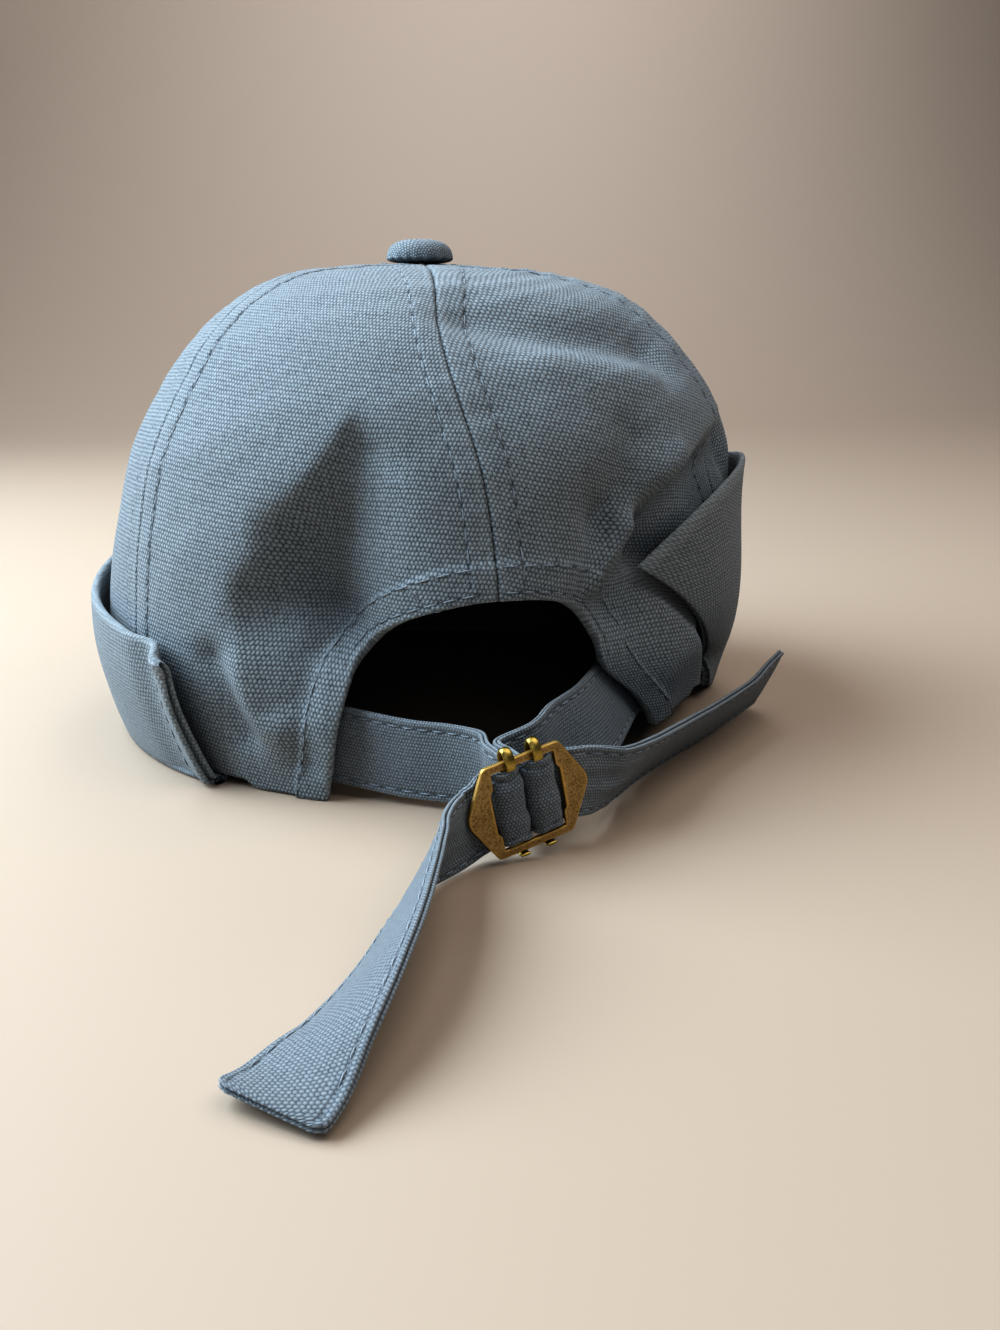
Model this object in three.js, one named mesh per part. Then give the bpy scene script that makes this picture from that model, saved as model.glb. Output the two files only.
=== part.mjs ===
// Docker cap: a brimless six-gore canvas cap with a turned-up cuff, an arched opening at the back and a
// two-strap adjuster held by a hexagonal slide buckle.  Millimetres, +Z up.  The cap rests on z = 0 with the
// origin under the middle of its rim; its front looks along +Y and its back opening along -Y.
// Places on the cloth are given as an angle in degrees round the rim, anticlockwise from +X, and as up,
// the millimetres of cloth above the crown's lower edge.

import * as THREE from 'three';

// ---- driving dimensions ----

const CANVAS = 1.4;            // thickness of the crown's canvas
const GAP = 0.3;               // clearance between neighbouring pieces
const SEAM_GAP = 0.5;          // and between neighbouring gores

const BUTTON_RADIUS = 9.3;
const BUTTON_HEIGHT = 6.8;

const CUFF_THICK = 2.4;        // the cuff is the canvas folded double
const CUFF_FOOT = 1.9;         // height of the fold that the cap stands on
const CUFF_STAND = 1;          // how far it stands off the crown at its foot
const CUFF_FLARE = 1.8;        // how much further off it stands at its upper edge
const CUFF_RIGHT_FOOT = -38;   // degrees round the rim where the cuff ends, at its foot and at its top
const CUFF_RIGHT_TOP = -55;
const CUFF_LEFT_FOOT = 223;
const CUFF_LEFT_TOP = 219;

const OPENING_TOP = 51.5;      // cloth height of the back opening's arch
const OPENING_SPRING = 31;     // where the upright hems end and the arch begins
const OPENING_FOOT_HALF = 27;  // half-width of the opening at the rim, degrees
const OPENING_SPRING_HALF = 22.5;
const HEM_LIFT = 0.2;          // the back hems' feet only just clear the surface

const STRAP_WIDTH = 20;
const STRAP_THICK = 1.8;
const STRAP_BUNCHED = 18.2;    // width where it is drawn through the buckle

const PLATE_THICK = 1.2;       // the buckle's cast plate
const PLATE_HALF_HEIGHT = 10.9;
const PLATE_HALF_EDGE = 9.3;   // half of its level top and bottom edges
const PLATE_HALF_WIDTH = 15;   // to the rounded points at its sides
const WINDOW_HALF_HEIGHT = 9.7;
const WINDOW_HALF_WIDTH = 8.2;
const BAR_RADIUS = 0.9;
const BAR_ASIDE = 3.3;         // each bar's distance from the buckle's middle
const BAR_BEHIND = 1.9;        // and from the middle of its plate

// ---- short tables ----

// The crown's shape: one row for each level section, from the button down to the lower edge.
const SECTIONS = [
  { height: 128.6, left: 3, right: 3, back: 3, front: 3 },
  { height: 127.6, left: 23, right: 22, back: 14, front: 20 },
  { height: 125.6, left: 40, right: 41, back: 30, front: 36 },
  { height: 120.5, left: 53, right: 58, back: 49, front: 50 },
  { height: 111.5, left: 65, right: 70, back: 65, front: 61 },
  { height: 97, left: 76, right: 82, back: 79, front: 72 },
  { height: 82, left: 84.5, right: 90, back: 87, front: 79 },
  { height: 66, left: 89, right: 92, back: 91, front: 83 },
  { height: 48, left: 92, right: 93, back: 93.5, front: 85 },
  { height: 28, left: 93, right: 93.5, back: 93.5, front: 85 },
  { height: 12, left: 90.5, right: 91.5, back: 91.5, front: 84 },
  { height: 0, left: 87.5, right: 89, back: 89.5, front: 82 },
];

// The seams between the gores, with the gore that lies anticlockwise of each.
const GORES = [
  { name: 'gore_back_left', from: 206, to: 270, columns: 16 },
  { name: 'gore_back_right', from: 270, to: 330, columns: 16 },
  { name: 'gore_right', from: 330, to: 390, columns: 10 },
  { name: 'gore_front_right', from: 30, to: 90, columns: 10 },
  { name: 'gore_front_left', from: 90, to: 150, columns: 10 },
  { name: 'gore_left', from: 150, to: 206, columns: 10 },
];
const GORE_ROWS = 20;

// Folds and dents, each along a line between two [angle, up] places, pushed out (+) or in (-) by depth and
// fading over width.  A crease has its edge on the line and its hollow on the line's left only.
const FOLDS = [
  { name: 'left back hollow', from: [248, 80], to: [236, 50], width: 17, depth: -8, crease: true },
  { name: 'hollow by the hem ridge', from: [235.5, 48], to: [240, 34], width: 5, depth: -3, crease: true },
  { name: 'hem fold', from: [240, 35], to: [240, 20], width: 4, depth: -2, crease: true },
  { name: 'left back bulge', from: [233, 33], to: [236, 22], width: 9, depth: 2.5, crease: false },
  { name: 'valley by the left cuff', from: [225, 34], to: [230, 16], width: 4.5, depth: -2.5, crease: false },
  { name: 'upper right dent', from: [277, 124], to: [297, 111], width: 8, depth: -3.5, crease: false },
  { name: 'valley above the opening', from: [297, 88], to: [288, 68], width: 6, depth: -3, crease: false },
  { name: 'foot of that valley', from: [288, 68], to: [285, 50], width: 5, depth: -2.5, crease: false },
  { name: 'lip beside the valley', from: [306, 82], to: [292, 66], width: 4.5, depth: 2, crease: false },
  { name: 'foot of that lip', from: [292, 66], to: [288, 52], width: 4, depth: 1.5, crease: false },
  { name: 'recess under the brow', from: [334, 86], to: [301, 78], width: 12, depth: -7, crease: true },
  { name: 'end of the recess', from: [301, 78], to: [289, 56], width: 8, depth: -3, crease: true },
  { name: 'hollow beside the flap ridge', from: [293, 64], to: [317, 6], width: 8, depth: -5, crease: true },
];

// The back seam leans to the left over this stretch.
const SEAM_LEAN = { at: [270, 95], along: 36, up: 30, by: [-4, 0, 0] };

// Low down, the right side is pushed forward: the cloth at the angle 'from' is carried round by 'turn'
// degrees, less and less towards 'to' in front, and not at all above the cloth height 'over'.
const SIDE_TURN = { before: 300, from: 322, to: 450, turn: 18, under: 30, over: 78 };

// The right back corner is crushed: these places of its cloth are carried to the points given, and the
// cloth around each follows within PIN_REACH.
const PINS = [
  { name: 'lower hem corner', at: [297, 0], to: [53, -66, 10] },
  { name: 'middle of the hem', at: [295, 15], to: [43, -70, 21] },
  { name: 'upper hem corner', at: [293, 31], to: [30, -80, 31] },
  { name: 'hem at the arch', at: [288.5, 41], to: [25, -85, 40] },
  { name: 'top of the flap', at: [292, 62], to: [37, -78, 62] },
  { name: 'middle of the flap ridge', at: [303, 36], to: [54, -62, 42] },
  { name: 'foot of the flap ridge', at: [315, 9], to: [73, -41, 18] },
  { name: 'edge under the ridge', at: [308, 0], to: [68, -43, 10] },
  { name: 'edge behind the cuff', at: [321, 4], to: [80, -27, 7] },
  { name: 'hollow behind the ridge', at: [309, 47], to: [46, -67, 53] },
  { name: 'hollow under the brow', at: [320, 58], to: [61, -58, 66] },
];
const PIN_REACH = 13;
const PIN_FADE = 0.25;         // how softly the pinned cloth runs out into the rest

// Height of the cuff's cloth above its foot.
const CUFF_HEIGHTS = [
  { angle: -55, height: 47.5 },
  { angle: -44, height: 55.5 },
  { angle: -36, height: 58.5 },
  { angle: -28, height: 68 },
  { angle: -18, height: 75 },
  { angle: 0, height: 72 },
  { angle: 30, height: 64 },
  { angle: 90, height: 54 },
  { angle: 150, height: 46 },
  { angle: 180, height: 40 },
  { angle: 205, height: 37 },
  { angle: 222, height: 34 },
];
const CUFF_COLUMNS = 52;
const CUFF_RISES = [0.02, 0.2, 0.4, 0.6, 0.8, 0.98];   // rows of its wall, from foot to top

// The buckle's middle, and its own axes: across, upright, and towards the reader of its face.
const BUCKLE_MIDDLE = new THREE.Vector3(-1, -123.9, 13.9);
const BUCKLE_ACROSS = new THREE.Vector3(0.955, 0.22, 0.2).normalize();
const BUCKLE_FACE = BUCKLE_ACROSS.clone().cross(new THREE.Vector3(0, 0, 1)).normalize();
const BUCKLE_UPRIGHT = BUCKLE_FACE.clone().cross(BUCKLE_ACROSS).normalize();

// Each strap's runs, along its middle line: lean is how far its upper edge tips over to the right of the way
// it runs, in degrees.  The first run goes from the hem to the buckle and the tail runs on to the free end.
const LEFT_STRAP_RUN = [
  { at: [-21.2, -87.5, 12], lean: 2 },
  { at: [-11, -94.5, 12.2], lean: 4 },
  { at: [-5.2, -102, 12.8], lean: 8 },
];
const LEFT_STRAP_TAIL = [
  { at: [-22.9, -134.2, 10.4], lean: -16 },
  { at: [-27.4, -143.6, 10.3], lean: -26 },
  { at: [-31.9, -154.2, 9.9], lean: -33 },
  { at: [-37.4, -166.8, 9.1], lean: -40 },
  { at: [-42.9, -177.1, 8], lean: -48 },
  { at: [-48.7, -186, 6.3], lean: -59 },
  { at: [-54.4, -192.8, 5.1], lean: -68 },
  { at: [-60, -198.5, 4.2], lean: -74 },
  { at: [-63, -201, 3.8], lean: -77 },
];
const RIGHT_STRAP_RUN = [
  { at: [24.5, -90.5, 18.6], lean: 26 },
  { at: [14.5, -98.5, 17], lean: 18 },
  { at: [7, -107, 15.8], lean: 13 },
];
const RIGHT_STRAP_TAIL = [
  { at: [21.4, -113.6, 14.2], lean: 20 },
  { at: [30.1, -104.4, 11.7], lean: 31 },
  { at: [39.3, -93.4, 9.7], lean: 35 },
  { at: [48, -84.8, 9.2], lean: 36 },
  { at: [57, -76.9, 9.2], lean: 37 },
  { at: [66.8, -68.4, 9.2], lean: 36 },
  { at: [77, -59.4, 9.6], lean: 35 },
  { at: [86.7, -50.4, 10.6], lean: 29 },
  { at: [95.6, -41.8, 11.3], lean: 26 },
];

// ---- small helpers ----

const UPWARD = new THREE.Vector3(0, 0, 1);
const toRadians = (degrees) => degrees * Math.PI / 180;
const lerp = (a, b, t) => a + (b - a) * t;
const clamp = (x, low, high) => Math.min(high, Math.max(low, x));
const wrap = (degrees) => ((degrees + 540) % 360) - 180;

function smoothstep(low, high, x) {
  const t = clamp((x - low) / (high - low), 0, 1);
  return t * t * (3 - 2 * t);
}

// ---- crown surface ----

// Length of cloth from the lower edge up to each section.
function clothLengths() {
  const lengths = new Array(SECTIONS.length).fill(0);
  for (let i = SECTIONS.length - 2; i >= 0; i -= 1) {
    const drop = SECTIONS[i].height - SECTIONS[i + 1].height;
    const spread = SECTIONS[i + 1].left - SECTIONS[i].left;
    lengths[i] = lengths[i + 1] + Math.hypot(drop, spread);
  }
  return lengths;
}
const UP = clothLengths();
const CROWN_UP = UP[0];
const RIM_REACH = 91;          // mean radius, turns degrees into millimetres of cloth near the rim

// Smooth value of one column of the section table at a length of cloth above the lower edge.
function sectionValue(column, up) {
  const last = SECTIONS.length - 1;
  let i = 0;
  while (i < last - 1 && UP[i + 1] > up) i += 1;
  const slope = (k) => {
    const above = Math.max(k - 1, 0);
    const below = Math.min(k + 1, last);
    return (SECTIONS[below][column] - SECTIONS[above][column]) / (UP[below] - UP[above]);
  };
  const span = UP[i + 1] - UP[i];
  const t = (up - UP[i]) / span;
  const eased = lerp(SECTIONS[i][column], SECTIONS[i + 1][column], t * t * (3 - 2 * t));
  return eased + span * (t * (1 - t) * (1 - t) * slope(i) - t * t * (1 - t) * slope(i + 1));
}

// How far low cloth on the right is carried round.
function sideTurn(angle, up) {
  const round = wrap(angle - SIDE_TURN.from) + SIDE_TURN.from;
  const rising = clamp((round - SIDE_TURN.before) / (SIDE_TURN.from - SIDE_TURN.before), 0, 1);
  const falling = clamp((SIDE_TURN.to - round) / (SIDE_TURN.to - SIDE_TURN.from), 0, 1);
  const low = 1 - smoothstep(SIDE_TURN.under, SIDE_TURN.over, up);
  return SIDE_TURN.turn * Math.min(rising, falling) * low;
}

// The crown before it is creased.
function plainCrown(angle, up) {
  const carried = toRadians(angle + sideTurn(angle, up));
  const c = Math.cos(carried);
  const s = Math.sin(carried);
  const side = sectionValue(c > 0 ? 'right' : 'left', up);
  const depth = sectionValue(s > 0 ? 'front' : 'back', up);
  return new THREE.Vector3(side * c, depth * s, sectionValue('height', up));
}

function normalOf(surface, angle, up) {
  const step = 0.5;
  const across = surface(angle + step, up).sub(surface(angle - step, up));
  const along = surface(angle, up + step).sub(surface(angle, up - step));
  return across.cross(along).normalize();
}

// How much of a fold's depth a place has, where reach turns its degrees into millimetres.
function foldShare(fold, angle, up, reach) {
  const softness = 0.12;
  const runOut = 0.6;
  const x = toRadians(wrap(angle - fold.from[0])) * reach;
  const y = up - fold.from[1];
  const dx = toRadians(wrap(fold.to[0] - fold.from[0])) * RIM_REACH;
  const dy = fold.to[1] - fold.from[1];
  const length = Math.hypot(dx, dy);
  const along = (x * dx + y * dy) / length;
  const over = along - clamp(along, 0, length);
  const aside = (y * dx - x * dy) / length / fold.width;
  if (!fold.crease) return Math.exp(-aside * aside - (over / fold.width) ** 2);
  const inside = (aside + Math.hypot(aside, softness)) / 2;
  return inside * Math.exp((1 - inside * inside) / 2 - (over / (runOut * fold.width)) ** 2);
}

// How the pinned places pull the cloth around them.
const PIN_MOVES = PINS.map((pin) => new THREE.Vector3(...pin.to).sub(plainCrown(...pin.at)));
function pinned(angle, up) {
  const move = new THREE.Vector3();
  let total = PIN_FADE;
  PINS.forEach((pin, i) => {
    const x = toRadians(wrap(angle - pin.at[0])) * RIM_REACH / PIN_REACH;
    const y = (up - pin.at[1]) / PIN_REACH;
    const share = Math.exp(-(x * x + y * y));
    total += share;
    move.addScaledVector(PIN_MOVES[i], share);
  });
  return move.divideScalar(total);
}

// The crown's outer face.
function crown(angle, up) {
  const point = plainCrown(angle, up);
  const reach = Math.hypot(point.x, point.y);
  let out = 0;
  for (const fold of FOLDS) out += fold.depth * foldShare(fold, angle, up, reach);
  const x = toRadians(wrap(angle - SEAM_LEAN.at[0])) * reach / SEAM_LEAN.along;
  const y = (up - SEAM_LEAN.at[1]) / SEAM_LEAN.up;
  return point
    .addScaledVector(normalOf(plainCrown, angle, up), out)
    .addScaledVector(new THREE.Vector3(...SEAM_LEAN.by), Math.exp(-(x * x + y * y)))
    .add(pinned(angle, up));
}

// A point off the crown's outer face, outwards.
function besideCrown(angle, up, distance) {
  return crown(angle, up).addScaledVector(normalOf(crown, angle, up), distance);
}

// ---- closed solids from points ----

function indexedGeometry(points, index) {
  const geometry = new THREE.BufferGeometry();
  geometry.setFromPoints(points);
  geometry.setIndex(index);
  return geometry;
}

// Two matching grids, rows of points, seen from outside: rows run down and columns run anticlockwise.
function solidFromGrids(outer, inner) {
  const rows = outer.length;
  const columns = outer[0].length;
  const index = [];
  const at = (layer, r, c) => layer * rows * columns + r * columns + c;
  const quad = (a, b, c, d) => index.push(a, b, c, a, c, d);
  for (let r = 0; r < rows - 1; r += 1) {
    for (let c = 0; c < columns - 1; c += 1) {
      quad(at(0, r, c), at(0, r + 1, c), at(0, r + 1, c + 1), at(0, r, c + 1));
      quad(at(1, r, c), at(1, r, c + 1), at(1, r + 1, c + 1), at(1, r + 1, c));
    }
  }
  const bottom = rows - 1;
  for (let c = 0; c < columns - 1; c += 1) {
    quad(at(0, 0, c), at(0, 0, c + 1), at(1, 0, c + 1), at(1, 0, c));
    quad(at(0, bottom, c + 1), at(0, bottom, c), at(1, bottom, c), at(1, bottom, c + 1));
  }
  const side = columns - 1;
  for (let r = 0; r < rows - 1; r += 1) {
    quad(at(0, r + 1, 0), at(0, r, 0), at(1, r, 0), at(1, r + 1, 0));
    quad(at(0, r, side), at(0, r + 1, side), at(1, r + 1, side), at(1, r, side));
  }
  return indexedGeometry([...outer.flat(), ...inner.flat()], index);
}

// Bands, each a closed ring whose first half lies on one face and whose second half comes back on the
// other, joined one after the other and capped at both ends.
function solidFromBands(bands) {
  const count = bands[0].length;
  const index = [];
  for (let i = 0; i < bands.length - 1; i += 1) {
    for (let k = 0; k < count; k += 1) {
      const a = i * count + k;
      const b = i * count + (k + 1) % count;
      index.push(a, b + count, b, a, a + count, b + count);
    }
  }
  const last = (bands.length - 1) * count;
  for (let k = 0; k < count / 2 - 1; k += 1) {
    const [a, b, c, d] = [k, k + 1, count - 2 - k, count - 1 - k];
    index.push(a, b, c, a, c, d);
    index.push(last + a, last + c, last + b, last + a, last + d, last + c);
  }
  return indexedGeometry(bands.flat(), index);
}

// ---- gores ----

// Half-width of the back opening, in degrees, at a height of cloth.
function openingHalf(up) {
  if (up <= OPENING_SPRING) return lerp(OPENING_FOOT_HALF, OPENING_SPRING_HALF, up / OPENING_SPRING);
  const squareness = 1.8;
  const rise = clamp((up - OPENING_SPRING) / (OPENING_TOP - OPENING_SPRING), 0, 1);
  return OPENING_SPRING_HALF * (1 - rise ** squareness) ** (1 / squareness);
}

// Where a gore's cloth ends below: above the cuff's foot, or down at the rim beside the back opening.
function lowerEdge(angle) {
  return lerp(HEM_LIFT, CUFF_FOOT + SEAM_GAP, smoothstep(40, 42.5, Math.abs(wrap(angle - 270))));
}

// The lower boundary of a back gore, from its side seam along its hem and up the arch to the back seam,
// with side -1 for the left gore and 1 for the right.
function backBoundary(sideSeam, side) {
  const steps = 14;
  const points = [];
  for (let k = 0; k < steps; k += 1) {
    const angle = lerp(sideSeam, 270 + side * OPENING_FOOT_HALF, k / steps);
    points.push([angle, lowerEdge(angle)]);
  }
  for (let k = 0; k < steps / 2; k += 1) {
    const up = lerp(HEM_LIFT, OPENING_SPRING, 2 * k / steps);
    points.push([270 + side * openingHalf(up), up]);
  }
  for (let k = 0; k <= steps; k += 1) {
    const up = lerp(OPENING_SPRING, OPENING_TOP, Math.sin(k / steps * Math.PI / 2));
    points.push([270 + side * openingHalf(up), up]);
  }
  return points;
}

// The place at a share of a boundary's length.
function alongBoundary(points, share) {
  const lengths = [0];
  for (let i = 1; i < points.length; i += 1) {
    const dx = toRadians(points[i][0] - points[i - 1][0]) * RIM_REACH;
    lengths.push(lengths[i - 1] + Math.hypot(dx, points[i][1] - points[i - 1][1]));
  }
  const target = share * lengths[lengths.length - 1];
  let i = 1;
  while (i < points.length - 1 && lengths[i] < target) i += 1;
  const t = (target - lengths[i - 1]) / (lengths[i] - lengths[i - 1]);
  return [lerp(points[i - 1][0], points[i][0], t), lerp(points[i - 1][1], points[i][1], t)];
}

// A gore's lower edge as a function of the share of the way across it, anticlockwise.
function goreFoot(gore) {
  if (gore.to === 270) {
    const points = backBoundary(gore.from, -1);
    return (share) => alongBoundary(points, share);
  }
  if (gore.from === 270) {
    const points = backBoundary(gore.to, 1);
    return (share) => alongBoundary(points, 1 - share);
  }
  return (share) => {
    const angle = lerp(gore.from, gore.to, share);
    return [angle, lowerEdge(angle)];
  };
}

// A gore is a fan of rows from the crown's middle down to its lower edge, kept half a seam's gap clear of
// each side.
function goreGeometry(gore) {
  const foot = goreFoot(gore);
  const outer = [];
  const inner = [];
  for (let r = 0; r <= GORE_ROWS; r += 1) {
    const places = [];
    for (let c = 0; c <= gore.columns; c += 1) {
      const share = c / gore.columns;
      const [footAngle, footUp] = foot(share);
      const up = lerp(CROWN_UP, footUp, r / GORE_ROWS);
      const angle = lerp(lerp(gore.from, gore.to, share), footAngle, r / GORE_ROWS);
      const point = crown(angle, up);
      const reach = Math.hypot(point.x, point.y);
      const inset = (1 - 2 * share) * SEAM_GAP / 2 / reach * 180 / Math.PI;
      places.push([angle + inset, up]);
    }
    outer.push(places.map(([angle, up]) => crown(angle, up)));
    inner.push(places.map(([angle, up]) => besideCrown(angle, up, -CANVAS)));
  }
  return solidFromGrids(outer, inner);
}

// ---- button ----

// A covered button: domed on top, with its cloth curled under at the rim.
function buttonGeometry() {
  const curl = 2.7;
  const waist = 6.6;
  const profile = [new THREE.Vector2(0, 0), new THREE.Vector2(waist, 0)];
  for (let k = 0; k <= 5; k += 1) {
    const turn = toRadians(lerp(-75, 60, k / 5));
    const radius = BUTTON_RADIUS - curl + curl * Math.cos(turn);
    profile.push(new THREE.Vector2(radius, 0.9 + curl + curl * Math.sin(turn)));
  }
  const shoulder = profile[profile.length - 1];
  for (let k = 3; k >= 0; k -= 1) {
    const radius = shoulder.x * k / 4;
    profile.push(new THREE.Vector2(radius, lerp(BUTTON_HEIGHT, shoulder.y, (radius / shoulder.x) ** 2)));
  }
  return new THREE.LatheGeometry(profile, 24).rotateX(Math.PI / 2);
}

// ---- cuff ----

function cuffHeight(angle) {
  let i = 1;
  while (i < CUFF_HEIGHTS.length - 1 && CUFF_HEIGHTS[i].angle < angle) i += 1;
  const before = CUFF_HEIGHTS[i - 1];
  const after = CUFF_HEIGHTS[i];
  const share = clamp((angle - before.angle) / (after.angle - before.angle), 0, 1);
  return lerp(before.height, after.height, share);
}

// A point of the cuff's wall: share is the way along it from its right end, rise from 0 at its foot to 1 at
// its upper edge, and through from 0 on its inner face to 1 on its outer face.
function cuffWall(share, rise, through) {
  const rightEnd = lerp(CUFF_RIGHT_FOOT, CUFF_RIGHT_TOP, rise);
  const leftEnd = lerp(CUFF_LEFT_FOOT, CUFF_LEFT_TOP, rise);
  const angle = lerp(rightEnd, leftEnd, share);
  const leftFlare = 2.5 * Math.exp(-(((leftEnd - angle) / 12) ** 2));
  const rightFlare = 1.5 * Math.exp(-(((angle - rightEnd) / 12) ** 2));
  const stand = CUFF_STAND + (CUFF_FLARE + leftFlare + rightFlare) * rise ** 0.7;
  const up = CUFF_FOOT + rise * cuffHeight(angle);
  return besideCrown(angle, up, stand + through * CUFF_THICK);
}

// A point of the fold under the crown's edge, at a height above the surface that it rests on and a
// distance outwards from the crown's outer face.
function cuffFold(share, distance, height) {
  const angle = lerp(CUFF_RIGHT_FOOT, CUFF_LEFT_FOOT, share);
  const edge = crown(angle, CUFF_FOOT);
  const lift = Math.max(0, edge.z - plainCrown(angle, CUFF_FOOT).z - 0.05);
  const outwards = normalOf(crown, angle, CUFF_FOOT).setZ(0).normalize();
  return edge.addScaledVector(outwards, distance).setZ(lift + height);
}

function cuffGeometry() {
  const bands = [];
  for (let k = 0; k <= CUFF_COLUMNS; k += 1) {
    const share = k / CUFF_COLUMNS;
    const outer = [
      cuffFold(share, -CANVAS, 0.6),
      cuffFold(share, -CANVAS + 0.6, 0),
      cuffFold(share, CUFF_STAND + CUFF_THICK - 1.2, 0),
      cuffFold(share, CUFF_STAND + CUFF_THICK - 0.3, 0.7),
      ...CUFF_RISES.map((rise) => cuffWall(share, rise, 1)),
      cuffWall(share, 1, 0.8),
    ];
    const inner = [
      cuffFold(share, -CANVAS, 1.7),
      cuffFold(share, -CANVAS + 0.4, CUFF_FOOT),
      cuffFold(share, 0, CUFF_FOOT),
      cuffFold(share, 0.5, CUFF_FOOT),
      ...CUFF_RISES.map((rise) => cuffWall(share, rise, 0)),
      cuffWall(share, 1, 0.2),
    ];
    bands.push([...outer, ...inner.reverse()]);
  }
  return solidFromBands(bands);
}

// ---- buckle ----

// A point in the buckle's own axes: across, upright and towards its face.
function inBuckle(across, upright, face) {
  return BUCKLE_MIDDLE.clone()
    .addScaledVector(BUCKLE_ACROSS, across)
    .addScaledVector(BUCKLE_UPRIGHT, upright)
    .addScaledVector(BUCKLE_FACE, face);
}

function plateGeometry() {
  const outline = new THREE.Shape();
  outline.moveTo(-PLATE_HALF_EDGE, -PLATE_HALF_HEIGHT);
  outline.lineTo(PLATE_HALF_EDGE, -PLATE_HALF_HEIGHT);
  outline.lineTo(PLATE_HALF_WIDTH - 0.9, -1.6);
  outline.quadraticCurveTo(PLATE_HALF_WIDTH + 0.4, 0, PLATE_HALF_WIDTH - 0.9, 1.6);
  outline.lineTo(PLATE_HALF_EDGE, PLATE_HALF_HEIGHT);
  outline.lineTo(-PLATE_HALF_EDGE, PLATE_HALF_HEIGHT);
  outline.lineTo(-PLATE_HALF_WIDTH + 0.9, 1.6);
  outline.quadraticCurveTo(-PLATE_HALF_WIDTH - 0.4, 0, -PLATE_HALF_WIDTH + 0.9, -1.6);
  outline.closePath();
  const step = 0.9;            // the window narrows a little near its two ends
  const stepHeight = 7.3;
  const corners = [
    [WINDOW_HALF_WIDTH - step, WINDOW_HALF_HEIGHT],
    [WINDOW_HALF_WIDTH - step, stepHeight],
    [WINDOW_HALF_WIDTH, stepHeight],
  ];
  const quarters = [
    corners,
    corners.map(([x, y]) => [x, -y]).reverse(),
    corners.map(([x, y]) => [-x, -y]),
    corners.map(([x, y]) => [-x, y]).reverse(),
  ];
  outline.holes.push(new THREE.Path(quarters.flat().map(([x, y]) => new THREE.Vector2(x, y))));
  const rounding = 0.2;
  return new THREE.ExtrudeGeometry(outline, {
    depth: PLATE_THICK - 2 * rounding,
    bevelEnabled: true,
    bevelThickness: rounding,
    bevelSize: rounding,
    bevelOffset: -rounding,
    bevelSegments: 1,
    curveSegments: 4,
  }).translate(0, 0, rounding - PLATE_THICK / 2);
}

// A bar stands behind the plate; both its ends hook over the plate's rods to the front.
function barGeometry(side) {
  const rod = (PLATE_HALF_HEIGHT + WINDOW_HALF_HEIGHT) / 2;
  const points = [];
  const hook = (sign, turns) => turns.map((turn) => {
    const upright = rod + BAR_BEHIND * Math.sin(toRadians(turn));
    return inBuckle(side * BAR_ASIDE, sign * upright, -BAR_BEHIND * Math.cos(toRadians(turn)));
  });
  points.push(...hook(-1, [120, 90, 60, 30, 0]));
  for (const upright of [-6, 0, 6]) points.push(inBuckle(side * BAR_ASIDE, upright, -BAR_BEHIND));
  points.push(...hook(1, [0, 30, 60, 90, 120, 150, 178]));
  const section = new THREE.Shape();
  section.absarc(0, 0, BAR_RADIUS, 0, 2 * Math.PI);
  return new THREE.ExtrudeGeometry(section, {
    steps: 34,
    curveSegments: 8,
    bevelEnabled: false,
    extrudePath: new THREE.CatmullRomCurve3(points),
  });
}

// ---- straps ----

// Stations of a strap: its middle, the direction across its width, and its width.
function leaning(rows, width) {
  const points = rows.map((row) => new THREE.Vector3(...row.at));
  return rows.map((row, i) => {
    const before = points[Math.max(i - 1, 0)];
    const after = points[Math.min(i + 1, points.length - 1)];
    const run = after.clone().sub(before).normalize();
    const right = run.clone().cross(UPWARD).normalize();
    const tilt = toRadians(row.lean);
    const upright = right.clone().cross(run);
    const across = upright.multiplyScalar(Math.cos(tilt)).addScaledVector(right, Math.sin(tilt));
    return { middle: points[i], across, width };
  });
}

// Through the buckle: in beside the middle, over the front of its bar, back down between the bar and the
// side of the plate, and out behind that side.
function throughBuckle(side) {
  const wrapRadius = BAR_RADIUS + GAP + STRAP_THICK / 2;
  const inner = BAR_ASIDE - wrapRadius;
  const places = [[inner, -14], [inner, -8], [inner, -4.5]];
  for (let turn = 0; turn <= 180; turn += 30) {
    const across = BAR_ASIDE + wrapRadius * -Math.cos(toRadians(turn));
    places.push([across, wrapRadius * Math.sin(toRadians(turn)) - BAR_BEHIND]);
  }
  places.push([5.8, -2.8], [6.7, -3.15], [8.2, -2.95], [10.5, -2.5], [13.5, -2.3], [16, -2.2]);
  return places.map(([across, face]) => ({
    middle: inBuckle(side * across, 0, face),
    across: BUCKLE_UPRIGHT,
    width: STRAP_BUNCHED,
  }));
}

function strapGeometry(stations) {
  const substeps = 2;
  const middles = new THREE.CatmullRomCurve3(stations.map((station) => station.middle), false, 'centripetal');
  const bands = [];
  const spans = stations.length - 1;
  for (let k = 0; k <= spans * substeps; k += 1) {
    const i = Math.min(Math.floor(k / substeps), spans - 1);
    const t = k / substeps - i;
    const share = k / (spans * substeps);
    const middle = middles.getPoint(share);
    const run = middles.getTangent(share);
    const across = stations[i].across.clone().lerp(stations[i + 1].across, t);
    across.addScaledVector(run, -across.dot(run)).normalize();
    const face = run.clone().cross(across).multiplyScalar(STRAP_THICK / 2);
    const half = lerp(stations[i].width, stations[i + 1].width, t) / 2;
    const at = (x, y) => middle.clone().addScaledVector(across, x * half).addScaledVector(face, y);
    bands.push([at(-1, 1), at(0, 1), at(1, 1), at(1, -1), at(0, -1), at(-1, -1)]);
  }
  return solidFromBands(bands);
}

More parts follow.
